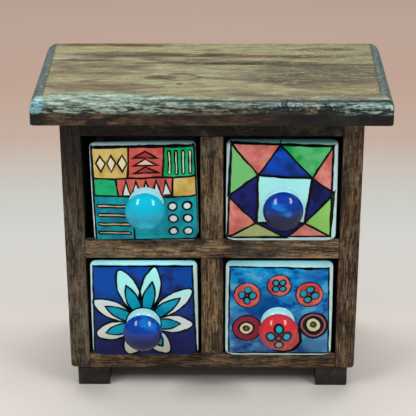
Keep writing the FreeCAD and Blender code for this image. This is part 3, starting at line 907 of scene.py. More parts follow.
@dataclass(frozen=True)
class StarGlaze(Glaze):
    """A four-pointed navy star round a white square, between coral and green triangles.

    Attributes:
        CORNERS: the painted field's corners, clockwise from the upper left one.
        TIPS: the star's tips, clockwise from the top one.
        INNER: the corners of the white square, clockwise from the upper left one.
        GREENS: the deep and the pale tone of each green triangle, clockwise from the upper left one.
    """

    shift: Pair = (-0.2, 2.17)
    # This dark rim is painted shade from the roof above the drawer.
    rim: str = "407678"
    CORNERS = ((-28.4, 27.7), (28.6, 26.2), (28.3, -29.7), (-30.4, -30.6))
    TIPS = ((-1.1, 26.8), (29.9, -2.6), (3.0, -30.8), (-30.1, -4.4))
    INNER = ((-13.3, 8.8), (17.0, 7.2), (13.5, -21.1), (-13.9, -20.8))
    GREENS = (
        ("78c67a", "a4dc98"),
        ("06a24a", "5cc078"),
        ("5cb04a", "90d068"),
        ("aebb78", "c4d098"),
    )

    def paint(self, brush: Brush) -> None:
        """Paints the star.

        Args:
            brush: the brush on this front.
        """
        graph, up = brush.graph, brush.upwards()
        brush.outlined(brush.patch(*self.CORNERS), brush.tint("c6645c", "e29084"), 1.1)
        share = (brush.wash + brush.across() * 0.008).rise(0.42, 0.72)
        for number, (deep, pale) in enumerate(self.GREENS):
            triangle = brush.patch(self.TIPS[number - 1], self.CORNERS[number], self.INNER[number])
            brush.outlined(triangle, graph.blend(share, deep, pale), 1.1)
        bright = up.rise(4.0, 16.0) * (brush.wash.rise(0.30, 0.60) * 0.6 + 0.3)
        navy = graph.blend(bright, brush.tint("0e1044", "172270", 0.38, 0.68), "0450c8")
        for number, tip in enumerate(self.TIPS):
            point = brush.patch(self.INNER[number], tip, self.INNER[(number + 1) % 4])
            brush.outlined(point, navy, 1.1)
        brush.outlined(brush.patch(*self.INNER), graph.blend(up.rise(-18.0, 4.0), "b2e8ea", "b8fffe"), 1.3)
        brush.blot(brush.stroke((-1.6, 26.5), (-0.4, 29.2), 0.7))


@dataclass(frozen=True)
class DaisyGlaze(Glaze):
    """Eight white petals with turquoise hearts on a cobalt ground.

    Attributes:
        FIELD: the corners of the cobalt ground.
        HUB: the flower's middle.
        PETALS: each petal's tip, the radius that rounds it, and the share of its length that its heart has.
    """

    shift: Pair = (0.3, 2.64)
    FIELD = ((-29.3, 25.9), (27.6, 25.9), (29.8, -35.0), (-30.3, -35.0))
    HUB = (-0.9, -10.9)
    PETALS = (
        ((-14.3, 24.2), 2.4, 0.72),
        ((6.5, 26.1), 1.8, 0.73),
        ((27.8, 11.4), 2.6, 0.75),
        ((28.3, -11.9), 2.4, 0.74),
        ((13.6, -31.8), 3.0, 0.75),
        ((-10.5, -32.7), 3.0, 0.70),
        ((-29.0, -19.2), 3.2, 0.80),
        ((-30.2, 3.5), 2.8, 0.76),
    )

    def paint(self, brush: Brush) -> None:
        """Paints the daisy.

        Args:
            brush: the brush on this front.
        """
        graph, up = brush.graph, brush.upwards()
        # The cobalt ground is painted lighter towards the top and darker towards the bottom: painted light and
        # shade of a front lit from above.
        cobalt = graph.blend(up.rise(-26.0, 20.0), "1c2258", "02469e")
        cobalt = graph.blend(brush.wash.rise(0.48, 0.72) * 0.8, cobalt, "1a1048")
        cobalt = graph.blend(brush.wash.rise(0.46, 0.30) * up.rise(-20.0, 10.0) * 0.5, cobalt, "045cbc")
        cobalt = graph.blend(brush.cloud((-25.0, 17.0), 15.0, 4.0) * 0.8, cobalt, "0450b0")
        brush.outlined(brush.patch(*self.FIELD) - self.SPREAD, cobalt, 0.9)
        # The white petals are painted greyer below and paler above: painted shade and light.
        white = graph.blend(up.rise(-30.0, -8.0), "ccccc0", "d8e6e2")
        white = graph.blend(up.rise(-2.0, 16.0), white, "aafcfa")
        teal = brush.tint("0084aa", "0aa6c2")
        hub = np.array(self.HUB)
        for tip, blunt, _ in self.PETALS:
            start = hub + (np.array(tip) - hub) * 0.16
            brush.outlined(brush.leaf(start, tip, 12.0, blunt), white, 1.0)
        for tip, _, share in self.PETALS:
            line = np.array(tip) - hub
            heart_tip = hub + line * share
            brush.outlined(brush.leaf(hub + line * 0.12, heart_tip, 7.0), teal, 0.9)
            brush.blot(brush.disc(heart_tip, 0.7))
        brush.set_ink()
        brush.outlined(brush.disc(self.HUB, 10.2), white, 1.0)


@dataclass(frozen=True)
class RosetteGlaze(Glaze):
    """Three red rosettes and a red disc over two ringed dots on a mottled blue ground.

    Attributes:
        FIELD: the corners of the blue ground.
        CLOUDS: each cloud in the ground: its middle, reach, depth and colour.
        ROSETTES: each one's middle, radius and turn in degrees.
        RIGHT_EYE: the middle of the ringed dot on the right.
    """

    shift: Pair = (-0.2, 2.64)
    waver: float = 2.6
    rim: str = "86c6d0"
    FIELD = ((-28.3, 25.6), (28.3, 25.0), (29.6, -31.2), (-29.0, -31.0))
    CLOUDS = (
        ((-9.0, 0.0), 13.0, 0.9, "04458c"),
        ((20.0, 21.0), 10.0, 0.7, "0456ac"),
        ((23.0, -25.0), 11.0, 0.7, "4c88b6"),
        ((-25.0, -8.0), 8.0, 0.5, "4474b0"),
    )
    ROSETTES = (
        ((-18.4, 7.9), 8.0, 5.0),
        ((0.2, 14.2), 7.0, 45.0),
        ((17.6, 8.7), 8.0, 12.0),
    )
    RIGHT_EYE = (20.5, -12.1)

    def paint(self, brush: Brush) -> None:
        """Paints the rosettes.

        Args:
            brush: the brush on this front.
        """
        graph = brush.graph
        quick = graph.noise(brush.spot * (1.0, 1.5, 1.0), 0.085, 2.5, 0.1, 0.6)
        # The blue ground is painted greyer and darker towards the bottom: painted shade.
        blue = graph.blend(brush.upwards().rise(-28.0, 20.0), "3c68a2", "028acc")
        blue = graph.blend(quick.rise(0.50, 0.64) * 0.7, blue, "56b4d0")
        blue = graph.blend(quick.rise(0.50, 0.38) * 0.85, blue, "023a8c")
        for middle, reach, depth, code in self.CLOUDS:
            blue = graph.blend(brush.cloud(middle, reach, reach * 0.4) * depth, blue, code)
        brush.outlined(brush.patch(*self.FIELD) - self.SPREAD, blue, 0.8)
        red = brush.tint("c23c40", "dc6a66", 0.38, 0.62)
        for middle, radius, turn in self.ROSETTES:
            self._rosette(brush, middle, radius, turn, red)
        brush.outlined(brush.disc((3.4, -21.0), 9.6), red, 1.6)
        self._eye(brush, (-18.6, -14.1), (8.4, 4.2), ("8e2a3a", "d8d2ae"))
        self._eye(brush, self.RIGHT_EYE, (8.5, 4.6), ("341428", "c8d4a2"))
        brush.fill(abs(brush.disc(self.RIGHT_EYE, 6.9)) - 0.45, "a86468")

    @staticmethod
    def _rosette(brush: Brush, middle: Pair, radius: float, turn: float, red: Wire) -> None:
        """Paints one red disc with four turquoise petals round a red dot.

        Args:
            brush: the brush on this front.
            middle: its middle.
            radius: the disc's radius.
            turn: how far the petals are turned, in degrees.
            red: the disc's red.
        """
        brush.outlined(brush.disc(middle, radius), red, 0.55)
        reach, petal = radius * 0.42, radius * 0.27
        for quarter in range(4):
            angle = math.radians(turn + 90 * quarter)
            at = (middle[0] + reach * math.sin(angle), middle[1] + reach * math.cos(angle))
            brush.outlined(brush.disc(at, petal), "1c9ab4", 0.65)
        brush.outlined(brush.disc(middle, 1.1), "b83040", 0.7)

    @staticmethod
    def _eye(brush: Brush, middle: Pair, radii: Pair, codes: tuple[str, str]) -> None:
        """Paints one ringed dot: an outer disc, a pale disc on it and a brown dot in black.

        Args:
            brush: the brush on this front.
            middle: its middle.
            radii: the radius of the outer disc and of the pale one.
            codes: their colours.
        """
        brush.outlined(brush.disc(middle, radii[0]), codes[0], 0.7)
        brush.outlined(brush.disc(middle, radii[1]), codes[1], 0.9)
        brush.set_ink()
        brush.blot(brush.disc(middle, 2.1))
        brush.set_ink()
        brush.fill(brush.disc(middle, 1.2), "8a4a3c")


@dataclass(frozen=True)
class PatchworkGlaze(Glaze):
    """A patchwork of ochre, green, coral and teal with plain ornament of triangles, dots and stripes.

    Attributes:
        FIELD: the corners of the teal ground.
        ROWS: the corners along the top and along the foot of each row of patches.
        DIAMOND: the first of three diamonds on the ochre patch.
        PEAK: the lowest of three peaks on the coral patch.
        TOOTH: the first of five teeth along the long coral patch.
        BAR: the ends of the first upright bar on the green patch.
        RUNG: the ends of the highest level stripe at the lower left.
        SEAM: the ends of the upright line in the teal ground.
        DOT: the upper left one of the dots.
    """

    shift: Pair = (0.3, 0.6)
    # This dark rim is painted shade from the roof above the drawer.
    rim: str = "407678"
    FIELD = ((-28.6, 27.0), (28.8, 27.0), (29.6, -30.4), (-28.6, -30.4))
    ROWS = (
        (
            ((-28.6, 27.0), (-8.0, 27.0), (12.0, 27.0), (28.8, 27.0)),
            ((-28.6, 8.4), (-9.0, 8.4), (10.6, 8.8), (29.2, 8.8)),
        ),
        (
            ((-28.6, 8.4), (-16.0, 8.4), (16.4, 8.6), (29.2, 8.8)),
            ((-28.6, -2.2), (-15.0, -2.6), (15.6, -3.6), (29.4, -3.4)),
        ),
    )
    DIAMOND = ((-26.6, 17.8), (-24.0, 22.6), (-21.4, 17.8), (-24.0, 12.6))
    PEAK = ((-5.4, 11.6), (1.4, 15.4), (8.2, 11.6))
    TOOTH = ((-12.6, -2.4), (-10.0, 6.4), (-7.4, -2.4))
    BAR = ((14.6, 11.4), (14.8, 24.0))
    RUNG = ((-26.4, -8.6), (-9.6, -9.2))
    SEAM = ((-6.6, -4.0), (-6.9, -31.0))
    DOT = (15.6, -9.2)

    @staticmethod
    def _moved(places: Sequence[Pair], step: Pair, times: int) -> list[Pair]:
        """Moves places by a step, as often as it says."""
        return [(x + step[0] * times, y + step[1] * times) for x, y in places]

    def _row(self, brush: Brush, motif: Sequence[Pair], step: Pair, codes: Sequence[str]) -> None:
        """Paints a motif once in each colour, one step farther each time."""
        for number, code in enumerate(codes):
            brush.outlined(brush.patch(*self._moved(motif, step, number)), code, 0.8)

    def paint(self, brush: Brush) -> None:
        """Paints the patchwork.

        Args:
            brush: the brush on this front.
        """
        brush.outlined(brush.patch(*self.FIELD) - self.SPREAD, brush.tint("037d94", "0fa2ac"), 1.0)
        ochre, green = brush.tint("c7a24c", "dcc476"), brush.tint("089a52", "1fb878")
        coral = brush.tint("c94f48", "dd6e60")
        for (tops, feet), colours in zip(self.ROWS, ((ochre, coral, green), (green, coral, ochre))):
            for place, colour in enumerate(colours):
                block = brush.patch(tops[place], tops[place + 1], feet[place + 1], feet[place])
                brush.outlined(block, colour, 1.0)
        self._row(brush, self.DIAMOND, (6.1, 0.0), ["e8e0b8"] * 3)
        self._row(brush, self.PEAK, (0.0, 4.6), ["a8383c", "efc7a8", "a8383c"])
        self._row(brush, self.TOOTH, (5.6, 0.0), ["dfe8e4"] * 5)
        for number in range(4):
            brush.outlined(brush.stroke(*self._moved(self.BAR, (3.9, 0.0), number), 1.5), "cdeec8", 0.7)
            brush.outlined(brush.stroke(*self._moved(self.RUNG, (0.0, -5.6), number), 1.7), "d8b890", 0.8)
        brush.line(brush.stroke(*self.SEAM, 0.1), 0.9)
        for number in range(6):
            at = (self.DOT[0] + number % 2 * 8.4, self.DOT[1] - number // 2 * 8.0)
            brush.outlined(brush.disc(at, 2.5), "dfe8ea", 1.0)


@dataclass(frozen=True, kw_only=True)
class KnobGlaze(Glaze):
    """A knob's glaze: one colour with painted shade below, and a pale stroke in it that is partly brushwork
    and partly painted light.

    Attributes:
        upper: its colour at the top.
        lower: its colour underneath, as painted shade.
        strokes: the colour of the pale stroke, partly brushwork and partly painted light.
        flower: whether a flower is painted on it.
        lit: where that pale stroke starts and ends, across and upwards from its middle.
        widest: where the knob's widest ring is, from front to back.
        BORDER: how far behind that ring its colour ends in a dark line.
        LINE: the line's colour.
        TURNS_UPPER: how far above its middle the lower colour ends, and from where the upper one is full.
        PETALS: the middle and the colour of each of the flower's petals.
        HUB: the flower's middle.
    """

    upper: str
    lower: str
    strokes: str
    flower: bool = False
    lit: tuple[Pair, Pair] = ((-2.0, -5.0), (4.0, -6.0))
    clay: str = "a8e0e8"
    waver: float = 0.8
    widest: float = -44.8
    BORDER = 1.6
    LINE = "06070c"
    TURNS_UPPER = (-3.0, 5.5)
    PETALS = (
        ((0.0, 5.4), "12a0be"),
        ((-4.6, 0.8), "12a0be"),
        ((4.6, 1.0), "12a0be"),
        ((0.2, -4.6), "8e989c"),
    )
    HUB = (0.0, 0.2)

    def paint(self, brush: Brush) -> None:
        """Paints the flower.

        Args:
            brush: the brush on this knob.
        """
        for at, code in self.PETALS:
            brush.outlined(brush.disc(at, 2.5), code, 1.1)
        brush.blot(brush.disc(self.HUB, 2.3))
        brush.set_ink()
        brush.fill(brush.disc(self.HUB, 0.9), "b83040")

    def dress(self, point: Wire) -> None:
        """Glazes the knob, with its flower where it has one.

        Args:
            point: the place in millimetres.
        """
        graph = point.graph
        _, y, _ = graph.parts(point)
        wash = graph.noise(point + (self.seed, 0.0, 0.0), 0.12, 2.0, 0.1, 0.5)
        brush = Brush(self.spot(point), tone(self.upper), wash)
        # Lower down the knob is painted its lower colour: painted shade.
        height = brush.upwards() + (wash - 0.5) * 6.0
        colour = graph.blend(height.rise(*self.TURNS_UPPER), self.lower, self.upper)
        # The pale stroke is partly the glaze's brushwork and partly painted light.
        streaky = graph.noise(point * (0.6, 1.0, 1.6) + (self.seed, 0.0, 0.0), 0.35, 3.0, 0.4)
        lit = (brush.stroke(*self.lit, 0.6) + (streaky - 0.5) * 7.0).rise(2.8, 0.0)
        brush.colour = graph.blend(lit * 0.9, colour, self.strokes)
        if self.flower:
            self.paint(brush)
        edge = y - (self.widest + self.BORDER)
        colour = graph.blend(edge.rise(0.3, -0.3), self.clay, brush.colour)
        colour = graph.blend(abs(edge).rise(0.85, 0.45), colour, self.LINE)
        swell = graph.noise(point, 0.09, 1.0)
        graph.finish(colour, 0.12, swell, 0.10, Coat_Weight=0.75, Coat_Roughness=0.11, Specular_IOR_Level=0.0)


@dataclass(frozen=True)
class Ring:
    """One level of a shell: how far it draws in from each side of the plan, and how high it lies."""

    inset: float
    level: float


def arc_rings(start: Ring, end: Ring, steps: int, hollow: bool = False) -> list[Ring]:
    """Rounds a quarter turn between two rings, leaving out the first.

    Args:
        start: the ring before the turn.
        end: the ring after it.
        steps: how many rings the turn has.
        hollow: whether the turn starts level and ends upright, instead of the other way round.

    Returns:
        The rings of the turn.
    """
    rings = []
    for step in range(1, steps + 1):
        angle = math.pi / 2 * step / steps
        near, far = 1 - math.cos(angle), math.sin(angle)
        inward, upward = (far, near) if hollow else (near, far)
        inset = start.inset + (end.inset - start.inset) * inward
        level = start.level + (end.level - start.level) * upward
        rings.append(Ring(inset, level))
    return rings


def straight_rings(start: Ring, end: Ring, steps: int) -> list[Ring]:
    """Goes straight from one ring to another, leaving out the first.

    Args:
        start: the ring before.
        end: the last ring.
        steps: how many rings there are.

    Returns:
        The rings, evenly spaced.
    """
    shares = [step / steps for step in range(1, steps + 1)]
    return [
        Ring(start.inset + (end.inset - start.inset) * share, start.level + (end.level - start.level) * share)
        for share in shares
    ]


def rounded_rings(thickness: float, low: float, high: float, steps: int = 4, middle: int = 6) -> list[Ring]:
    """Gives a board's rings from one face to the other, with a round at each.

    Args:
        thickness: from face to face.
        low: the radius at the first face.
        high: the radius at the second.
        steps: rings in each round.
        middle: rings between the rounds.

    Returns:
        The rings.
    """
    rings = [Ring(low, 0.0)]
    rings += arc_rings(rings[-1], Ring(0.0, low), steps, hollow=True)
    rings += straight_rings(rings[-1], Ring(0.0, thickness - high), middle)
    rings += arc_rings(rings[-1], Ring(high, thickness), steps)
    return rings


def outward(points: np.ndarray, faces: list[tuple[int, ...]]) -> list[tuple[int, ...]]:
    """Turns the faces of a closed skin so that they look outwards.

    Args:
        points: the skin's points.
        faces: its faces, all turned one way.

    Returns:
        The faces, as they are or all reversed.
    """
    places = points - points.mean(0)
    corners = [(face[0], *pair) for face in faces for pair in zip(face[1:-1], face[2:])]
    first, second, third = (places[list(column)] for column in zip(*corners))
    volume = float((first * np.cross(second, third)).sum())
    return faces if volume > 0 else [face[::-1] for face in faces]


@dataclass
class Shell:
    """A closed skin of rings between two level caps, over a rectangle with rounded corners.

    Attributes:
        low: the box's lowest corner in millimetres.
        high: its highest corner.
        upright: the axis along which the rings are stacked.
        rings: the rings, from the first cap to the second.
        cell: the size of a cap's cells.
        corner: the radius of the plan's corners at no inset.
        shares: how much of each ring's inset is taken at the four sides of the plan.
        FEWEST: how many cells a cap has at least along each side.
        EDGE_SHARES: where the closer lines stand in the outermost cell and a half of each end.
    """

    FEWEST = 4
    EDGE_SHARES = (0.12, 0.35, 0.65)

    low: np.ndarray
    high: np.ndarray
    upright: Axis
    rings: list[Ring]
    cell: float = 2.5
    corner: float = 0.5
    shares: tuple[float, float, float, float] = (1.0, 1.0, 1.0, 1.0)

    def _spaced(self, length: float) -> np.ndarray:
        """Gives shares from 0 to 1 that stand closer together near both ends.

        Args:
            length: the side's length in millimetres.

        Returns:
            The shares in rising order.
        """
        count = max(self.FEWEST, int(round(length / self.cell)))
        even = np.linspace(0.0, 1.0, count + 1)
        edge = min(0.35, 1.5 * self.cell / length)
        extra = np.array(self.EDGE_SHARES) * edge
        return np.unique(np.round(np.concatenate([even, extra, 1 - extra]), 6))

    def points(self) -> Skin:
        """Works out the skin.

        Returns:
            Its points in millimetres, and its faces as the numbers of their points.
        """
        order = {Axis.ACROSS: (1, 2, 0), Axis.BACKWARDS: (0, 2, 1), Axis.UPWARDS: (0, 1, 2)}[self.upright]
        size = self.high - self.low
        first, second = self._spaced(size[order[0]]), self._spaced(size[order[1]])
        columns, rows = len(first), len(second)
        grid_u, grid_v = np.meshgrid(first, second, indexing="ij")
        grid = np.stack([grid_u.ravel(), grid_v.ravel()], 1)
        edge = [(i, 0) for i in range(columns)] + [(columns - 1, j) for j in range(1, rows)]
        edge += [(i, rows - 1) for i in range(columns - 2, -1, -1)] + [(0, j) for j in range(rows - 2, 0, -1)]
        edge_ids = [i * rows + j for i, j in edge]
        layers = [self._layer(grid, self.rings[0], size, order)]
        layers += [self._layer(grid[edge_ids], ring, size, order) for ring in self.rings[1:-1]]
        layers.append(self._layer(grid, self.rings[-1], size, order))
        faces = self._cap(columns, rows, 0, True)
        around = len(edge_ids)
        start = len(grid)
        below = edge_ids
        for _ in self.rings[1:-1]:
            above = list(range(start, start + around))
            faces += self._band(below, above)
            below = above
            start += around
        faces += self._band(below, [start + k for k in edge_ids])
        faces += self._cap(columns, rows, start, False)
        points = np.concatenate(layers)
        return points, outward(points, faces)

    def _layer(
        self, shares: np.ndarray, ring: Ring, size: np.ndarray, order: tuple[int, int, int]
    ) -> np.ndarray:
        """Places one ring's or cap's points.

        Args:
            shares: each point's place in the plan, from 0 to 1 both ways.
            ring: the ring.
            size: the box's size.
            order: the plan's two axes and the upright one.

        Returns:
            The points in millimetres.
        """
        lows = np.array([ring.inset * self.shares[0], ring.inset * self.shares[2]])
        highs = np.array([size[order[0]], size[order[1]]])
        highs = highs - [ring.inset * self.shares[1], ring.inset * self.shares[3]]
        flat = lows + shares * (highs - lows)
        radius = max(0.05, self.corner - ring.inset * 0.5)
        inner = np.clip(flat, lows + radius, highs - radius)
        away = flat - inner
        longest = np.abs(away).max(1, keepdims=True)
        length = np.maximum(np.hypot(away[:, 0], away[:, 1])[:, None], 1e-9)
        flat = inner + away * longest / length
        placed = np.zeros((len(flat), 3))
        placed[:, order[0]] = self.low[order[0]] + flat[:, 0]
        placed[:, order[1]] = self.low[order[1]] + flat[:, 1]
        placed[:, order[2]] = self.low[order[2]] + ring.level
        return placed

    @staticmethod
    def _band(below: Sequence[int], above: Sequence[int]) -> list[tuple[int, ...]]:
        """Joins two closed rings with four-sided faces."""
        count = len(below)
        return [(below[k], below[(k + 1) % count], above[(k + 1) % count], above[k]) for k in range(count)]

    @staticmethod
    def _cap(columns: int, rows: int, start: int, under: bool) -> list[tuple[int, ...]]:
        """Fills a cap's grid with faces.

        Args:
            columns: how many points it has one way.
            rows: how many it has the other way.
            start: the number of its first point.
            under: whether it closes the shell below.

        Returns:
            The faces.
        """
        faces = []
        for i in range(columns - 1):
            for j in range(rows - 1):
                corner = start + i * rows + j
                face = (corner, corner + rows, corner + rows + 1, corner + 1)
                faces.append(face[::-1] if under else face)
        return faces


def make_piece(
    name: str, points: np.ndarray, faces: Sequence[tuple[int, ...]], worn: bool = False
) -> bpy.types.Object:
    """Turns points and faces into a smooth object.

    Args:
        name: the piece's name.
        points: its points in millimetres.
        faces: its faces.
        worn: whether normals lean towards the larger faces, as on a flat board.

    Returns:
        The object.
    """
    mesh = bpy.data.meshes.new(name)
    mesh.from_pydata((points * MM).tolist(), [], [tuple(face) for face in faces])
    mesh.polygons.foreach_set("use_smooth", [True] * len(mesh.polygons))
    mesh.update()
    piece = bpy.data.objects.new(name, mesh)
    bpy.context.scene.collection.objects.link(piece)
    if worn:
        even = piece.modifiers.new("even_normals", "WEIGHTED_NORMAL")
        even.keep_sharp = True
    return piece


def press_in(piece: bpy.types.Object, depth: Callable[[Vector, Vector], float]) -> None:
    """Moves every point of a piece inwards along its normal.

    Args:
        piece: the piece.
        depth: gives the depth in millimetres from a point in millimetres and its normal.
    """
    mesh = piece.data
    count = len(mesh.vertices)
    points, normals = np.zeros(count * 3), np.zeros(count * 3)
    mesh.vertices.foreach_get("co", points)
    mesh.vertices.foreach_get("normal", normals)
    points, normals = points.reshape(-1, 3), normals.reshape(-1, 3)
    inward = [depth(Vector(point), Vector(normal)) for point, normal in zip(points / MM, normals)]
    points -= normals * np.array(inward)[:, None] * MM
    mesh.vertices.foreach_set("co", points.ravel())
    mesh.update()


def node_box(node: str) -> tuple[np.ndarray, np.ndarray]:
    """Gives a CAD node's lowest and highest corner in millimetres."""
    low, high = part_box(node)
    return np.array(low) / MM, np.array(high) / MM


def settle(piece: bpy.types.Object, body: str, slot: str, material: bpy.types.Material, *nodes: str) -> None:
    """Puts a finished piece on its body and in place of its CAD nodes.

    Args:
        piece: the piece.
        body: the CAD body that it rides on.
        slot: not used.
        material: its finish.
        nodes: the CAD nodes that it stands for.
    """
    piece.data.materials.clear()
    piece.data.materials.append(material)
    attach(piece, body)
    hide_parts(*nodes)
    LOG.info("piece %s rides on %s", piece.name, body)


@dataclass
class Board:
    """One board of the case, with worn edges and raised grain.

    Attributes:
        node: the CAD node that it stands for.
        thin: the axis along its thickness.
        finish: its wood.
        slot: the record's material slot.
        first_round: the radius along the edges of its first face.
        second_round: the radius along the edges of its second face.
        shares: how much of these the four sides of its plan take.
        wear: how deep its edges are worn, in millimetres.
        cell: the size of its mesh's cells.
        CORNER: the radius of its plan's corners.
    """

    CORNER = 0.8

    node: str
    thin: Axis
    finish: Finish
    slot: str = "case_wood"
    first_round: float = 0.7
    second_round: float = 0.7
    shares: tuple[float, float, float, float] = (1.0, 1.0, 1.0, 1.0)
    wear: float = 0.35
    cell: float = 2.5

    def build(self) -> None:
        """Builds and dresses the board."""
        low, high = node_box(self.node)
        thickness = float((high - low)[self.thin.value])
        rings = rounded_rings(thickness, self.first_round, self.second_round)
        shell = Shell(low, high, self.thin, rings, self.cell, self.CORNER, self.shares)
        piece = make_piece(f"{self.node}_wood", *shell.points(), worn=True)
        press_in(piece, self._depth)
        settle(piece, "case", self.slot, self.finish.build(), self.node)

    def _depth(self, point: Vector, normal: Vector) -> float:
        """Wears a point down, most where its normal says that it is on an edge.

        Args:
            point: the place in millimetres.
            normal: the way the skin looks there.

        Returns:
            The depth in millimetres.
        """
        slant = 1.0 - max(abs(normal.x), abs(normal.y), abs(normal.z))
        dents = max(0.0, noise.noise(point * 0.13)) + max(0.0, noise.noise(point * 0.41)) * 0.5
        return slant * self.wear * 2.2 * dents + 0.04 * (1 + noise.noise(point * 0.3))


@dataclass
class Roof:
    """The thick roof board with its round front and ends.

    Attributes:
        node: the CAD node that it stands for.
        turn: the radius of the round on its upper front and ends.
        lip: the radius along its underside.
        quirk: how deep the thin groove is that runs where the round starts.
        cell: the size of its mesh's cells.
        QUIRK_AT: how far behind the front the groove runs.
        QUIRK_WIDTH: how wide it is.
        QUIRK_FADE: how far to the left of the board's middle it has run out.
        ROUND_RINGS: how many rings each round has.
        EDGE_RINGS: how many rings lie between the rounds.
        CORNER: the radius of the board's corners, seen from above.
        SHARES: how much of the rounds its four sides take, of which the rear one takes little.
    """

    QUIRK_AT = 2.6
    QUIRK_WIDTH = 0.55
    QUIRK_FADE = 50
    ROUND_RINGS = 16
    EDGE_RINGS = 8
    CORNER = 2.2
    SHARES = (1.0, 1.0, 1.0, 0.15)

    node: str = "roof_board"
    turn: float = 6.8
    lip: float = 1.2
    quirk: float = 0.35
    cell: float = 1.25
    low: np.ndarray = field(init=False)
    high: np.ndarray = field(init=False)

    def __post_init__(self) -> None:
        """Reads the board's box from the frame."""
        self.low, self.high = node_box(self.node)

    def build(self) -> None:
        """Builds and dresses the roof board."""
        thickness = float(self.high[2] - self.low[2])
        rings = rounded_rings(thickness, self.lip, self.turn, self.ROUND_RINGS, self.EDGE_RINGS)
        shell = Shell(self.low, self.high, Axis.UPWARDS, rings, self.cell, self.CORNER, self.SHARES)
        piece = make_piece("roof_board_wood", *shell.points(), worn=True)
        press_in(piece, self._depth)
        finish = RoofTimber(
            "scrubbed_roof",
            Axis.ACROSS,
            middle="402917",
            light="84684a",
            seed=31.0,
            stains=0.5,
            top=float(self.high[2]),
            turn=self.turn,
            front=float(self.low[1]),
            half=float(self.high[0]),
        )
        settle(piece, "case", "roof_wood", finish.build(), self.node)

    def _depth(self, point: Vector, normal: Vector) -> float:
        """Wears the board: long hollows on top, dents on the round and the groove behind it.

        Args:
            point: the place in millimetres.
            normal: the way the skin looks there.

        Returns:
            The depth in millimetres.
        """
        long_way = Vector((point.x * 0.03, point.y * 0.22, point.z * 0.22))
        hollow = 0.10 * (1 + noise.noise(long_way)) + 0.05 * (1 + noise.noise(point * 0.25))
        dents = max(0.0, noise.noise(point * 0.16)) * 0.5 + max(0.0, noise.noise(point * 0.5)) * 0.25
        slant = 1.0 - max(abs(normal.x), abs(normal.y), abs(normal.z))
        behind = (point.y - self.low[1] - self.QUIRK_AT) / self.QUIRK_WIDTH
        near = math.exp(-(behind**2)) if abs(point.x) < self.high[0] - self.turn else 0.0
        strength = min(1.0, max(0.0, (point.x + self.QUIRK_FADE) / self.QUIRK_FADE))
        return hollow + slant * dents + near * self.quirk * strength * (normal.z > 0.5)


@dataclass
class Case:
    """The wooden case under the roof: its boards, feet, back and fasteners.

    Attributes:
        outer_round: the radius at the lower outer corner of each side.
        toe: how much of it the four edges of a side take, of which only the lower one takes all.
        fasteners: the CAD nodes of nails, pins and screws that keep their own shape.
    """

    outer_round: float = 2.4
    toe: tuple[float, float, float, float] = (0.35, 0.35, 1.0, 0.35)
    fasteners: tuple[str, ...] = ("side_nails", "divider_nails", "back_pins", "foot_nails", "roof_screws")

    def boards(self) -> list[Board]:
        """Lists the boards, each cut from its own place in the wood.

        Returns:
            The boards and the feet.
        """
        across, upwards = Axis.ACROSS, Axis.UPWARDS
        # The left side is painted darker towards the roof, as painted shade.
        left = Timber(
            "left_side_wood", upwards, middle="46382a", light="766650", seed=3.0, dust=0.4, roof_shade=0.8
        )
        right = Timber("right_side_wood", upwards, middle="4a3625", light="947650", seed=57.0)
        boards = [
            Board("left_side", across, left, first_round=self.outer_round, shares=self.toe),
            Board("right_side", across, right, second_round=self.outer_round, shares=self.toe),
        ]
        for node, thin, grain, middle, light, seed in (
            ("bottom_board", upwards, across, "4d3b29", "98795a", 91.0),
            ("middle_shelf", upwards, across, "6a563f", "b0906a", 113.0),
            # case_top's tones are far darker than the others': partly its own darker wood, partly painted
            # shade under the roof's overhang.
            ("case_top", upwards, across, "20150f", "3e2c20", 140.0),
            ("lower_divider", across, upwards, "554230", "9c7e58", 171.0),
            ("upper_divider", across, upwards, "4e3d2d", "947a58", 203.0),
        ):
            # Each of these boards is painted near-black inside the bays, as painted shade.
            wood = Timber(f"{node}_wood", grain, middle=middle, light=light, seed=seed, inside=1.0)
            boards.append(Board(node, thin, wood))
        veneer = PlyWood("back_panel_veneer")
        boards.append(Board("back_panel", Axis.BACKWARDS, veneer, slot="plywood", cell=5.0))
        for number, place in enumerate(("front_left", "front_right", "rear_left", "rear_right")):
            finish = Charcoal(f"{place}_foot_black", seed=11.0 * number)
            boards.append(Board(f"{place}_foot", upwards, finish, slot="foot_wood", wear=0.6, cell=1.5))
        return boards

    def build(self) -> None:
        """Builds and dresses the case."""
        for board in self.boards():
            board.build()
        steel = WireSteel("wire_steel_dull").build()
        for name in self.fasteners:
            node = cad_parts[name]
            node.data.materials.clear()
            node.data.materials.append(steel)
            LOG.info("CAD node %s keeps its shape", name)


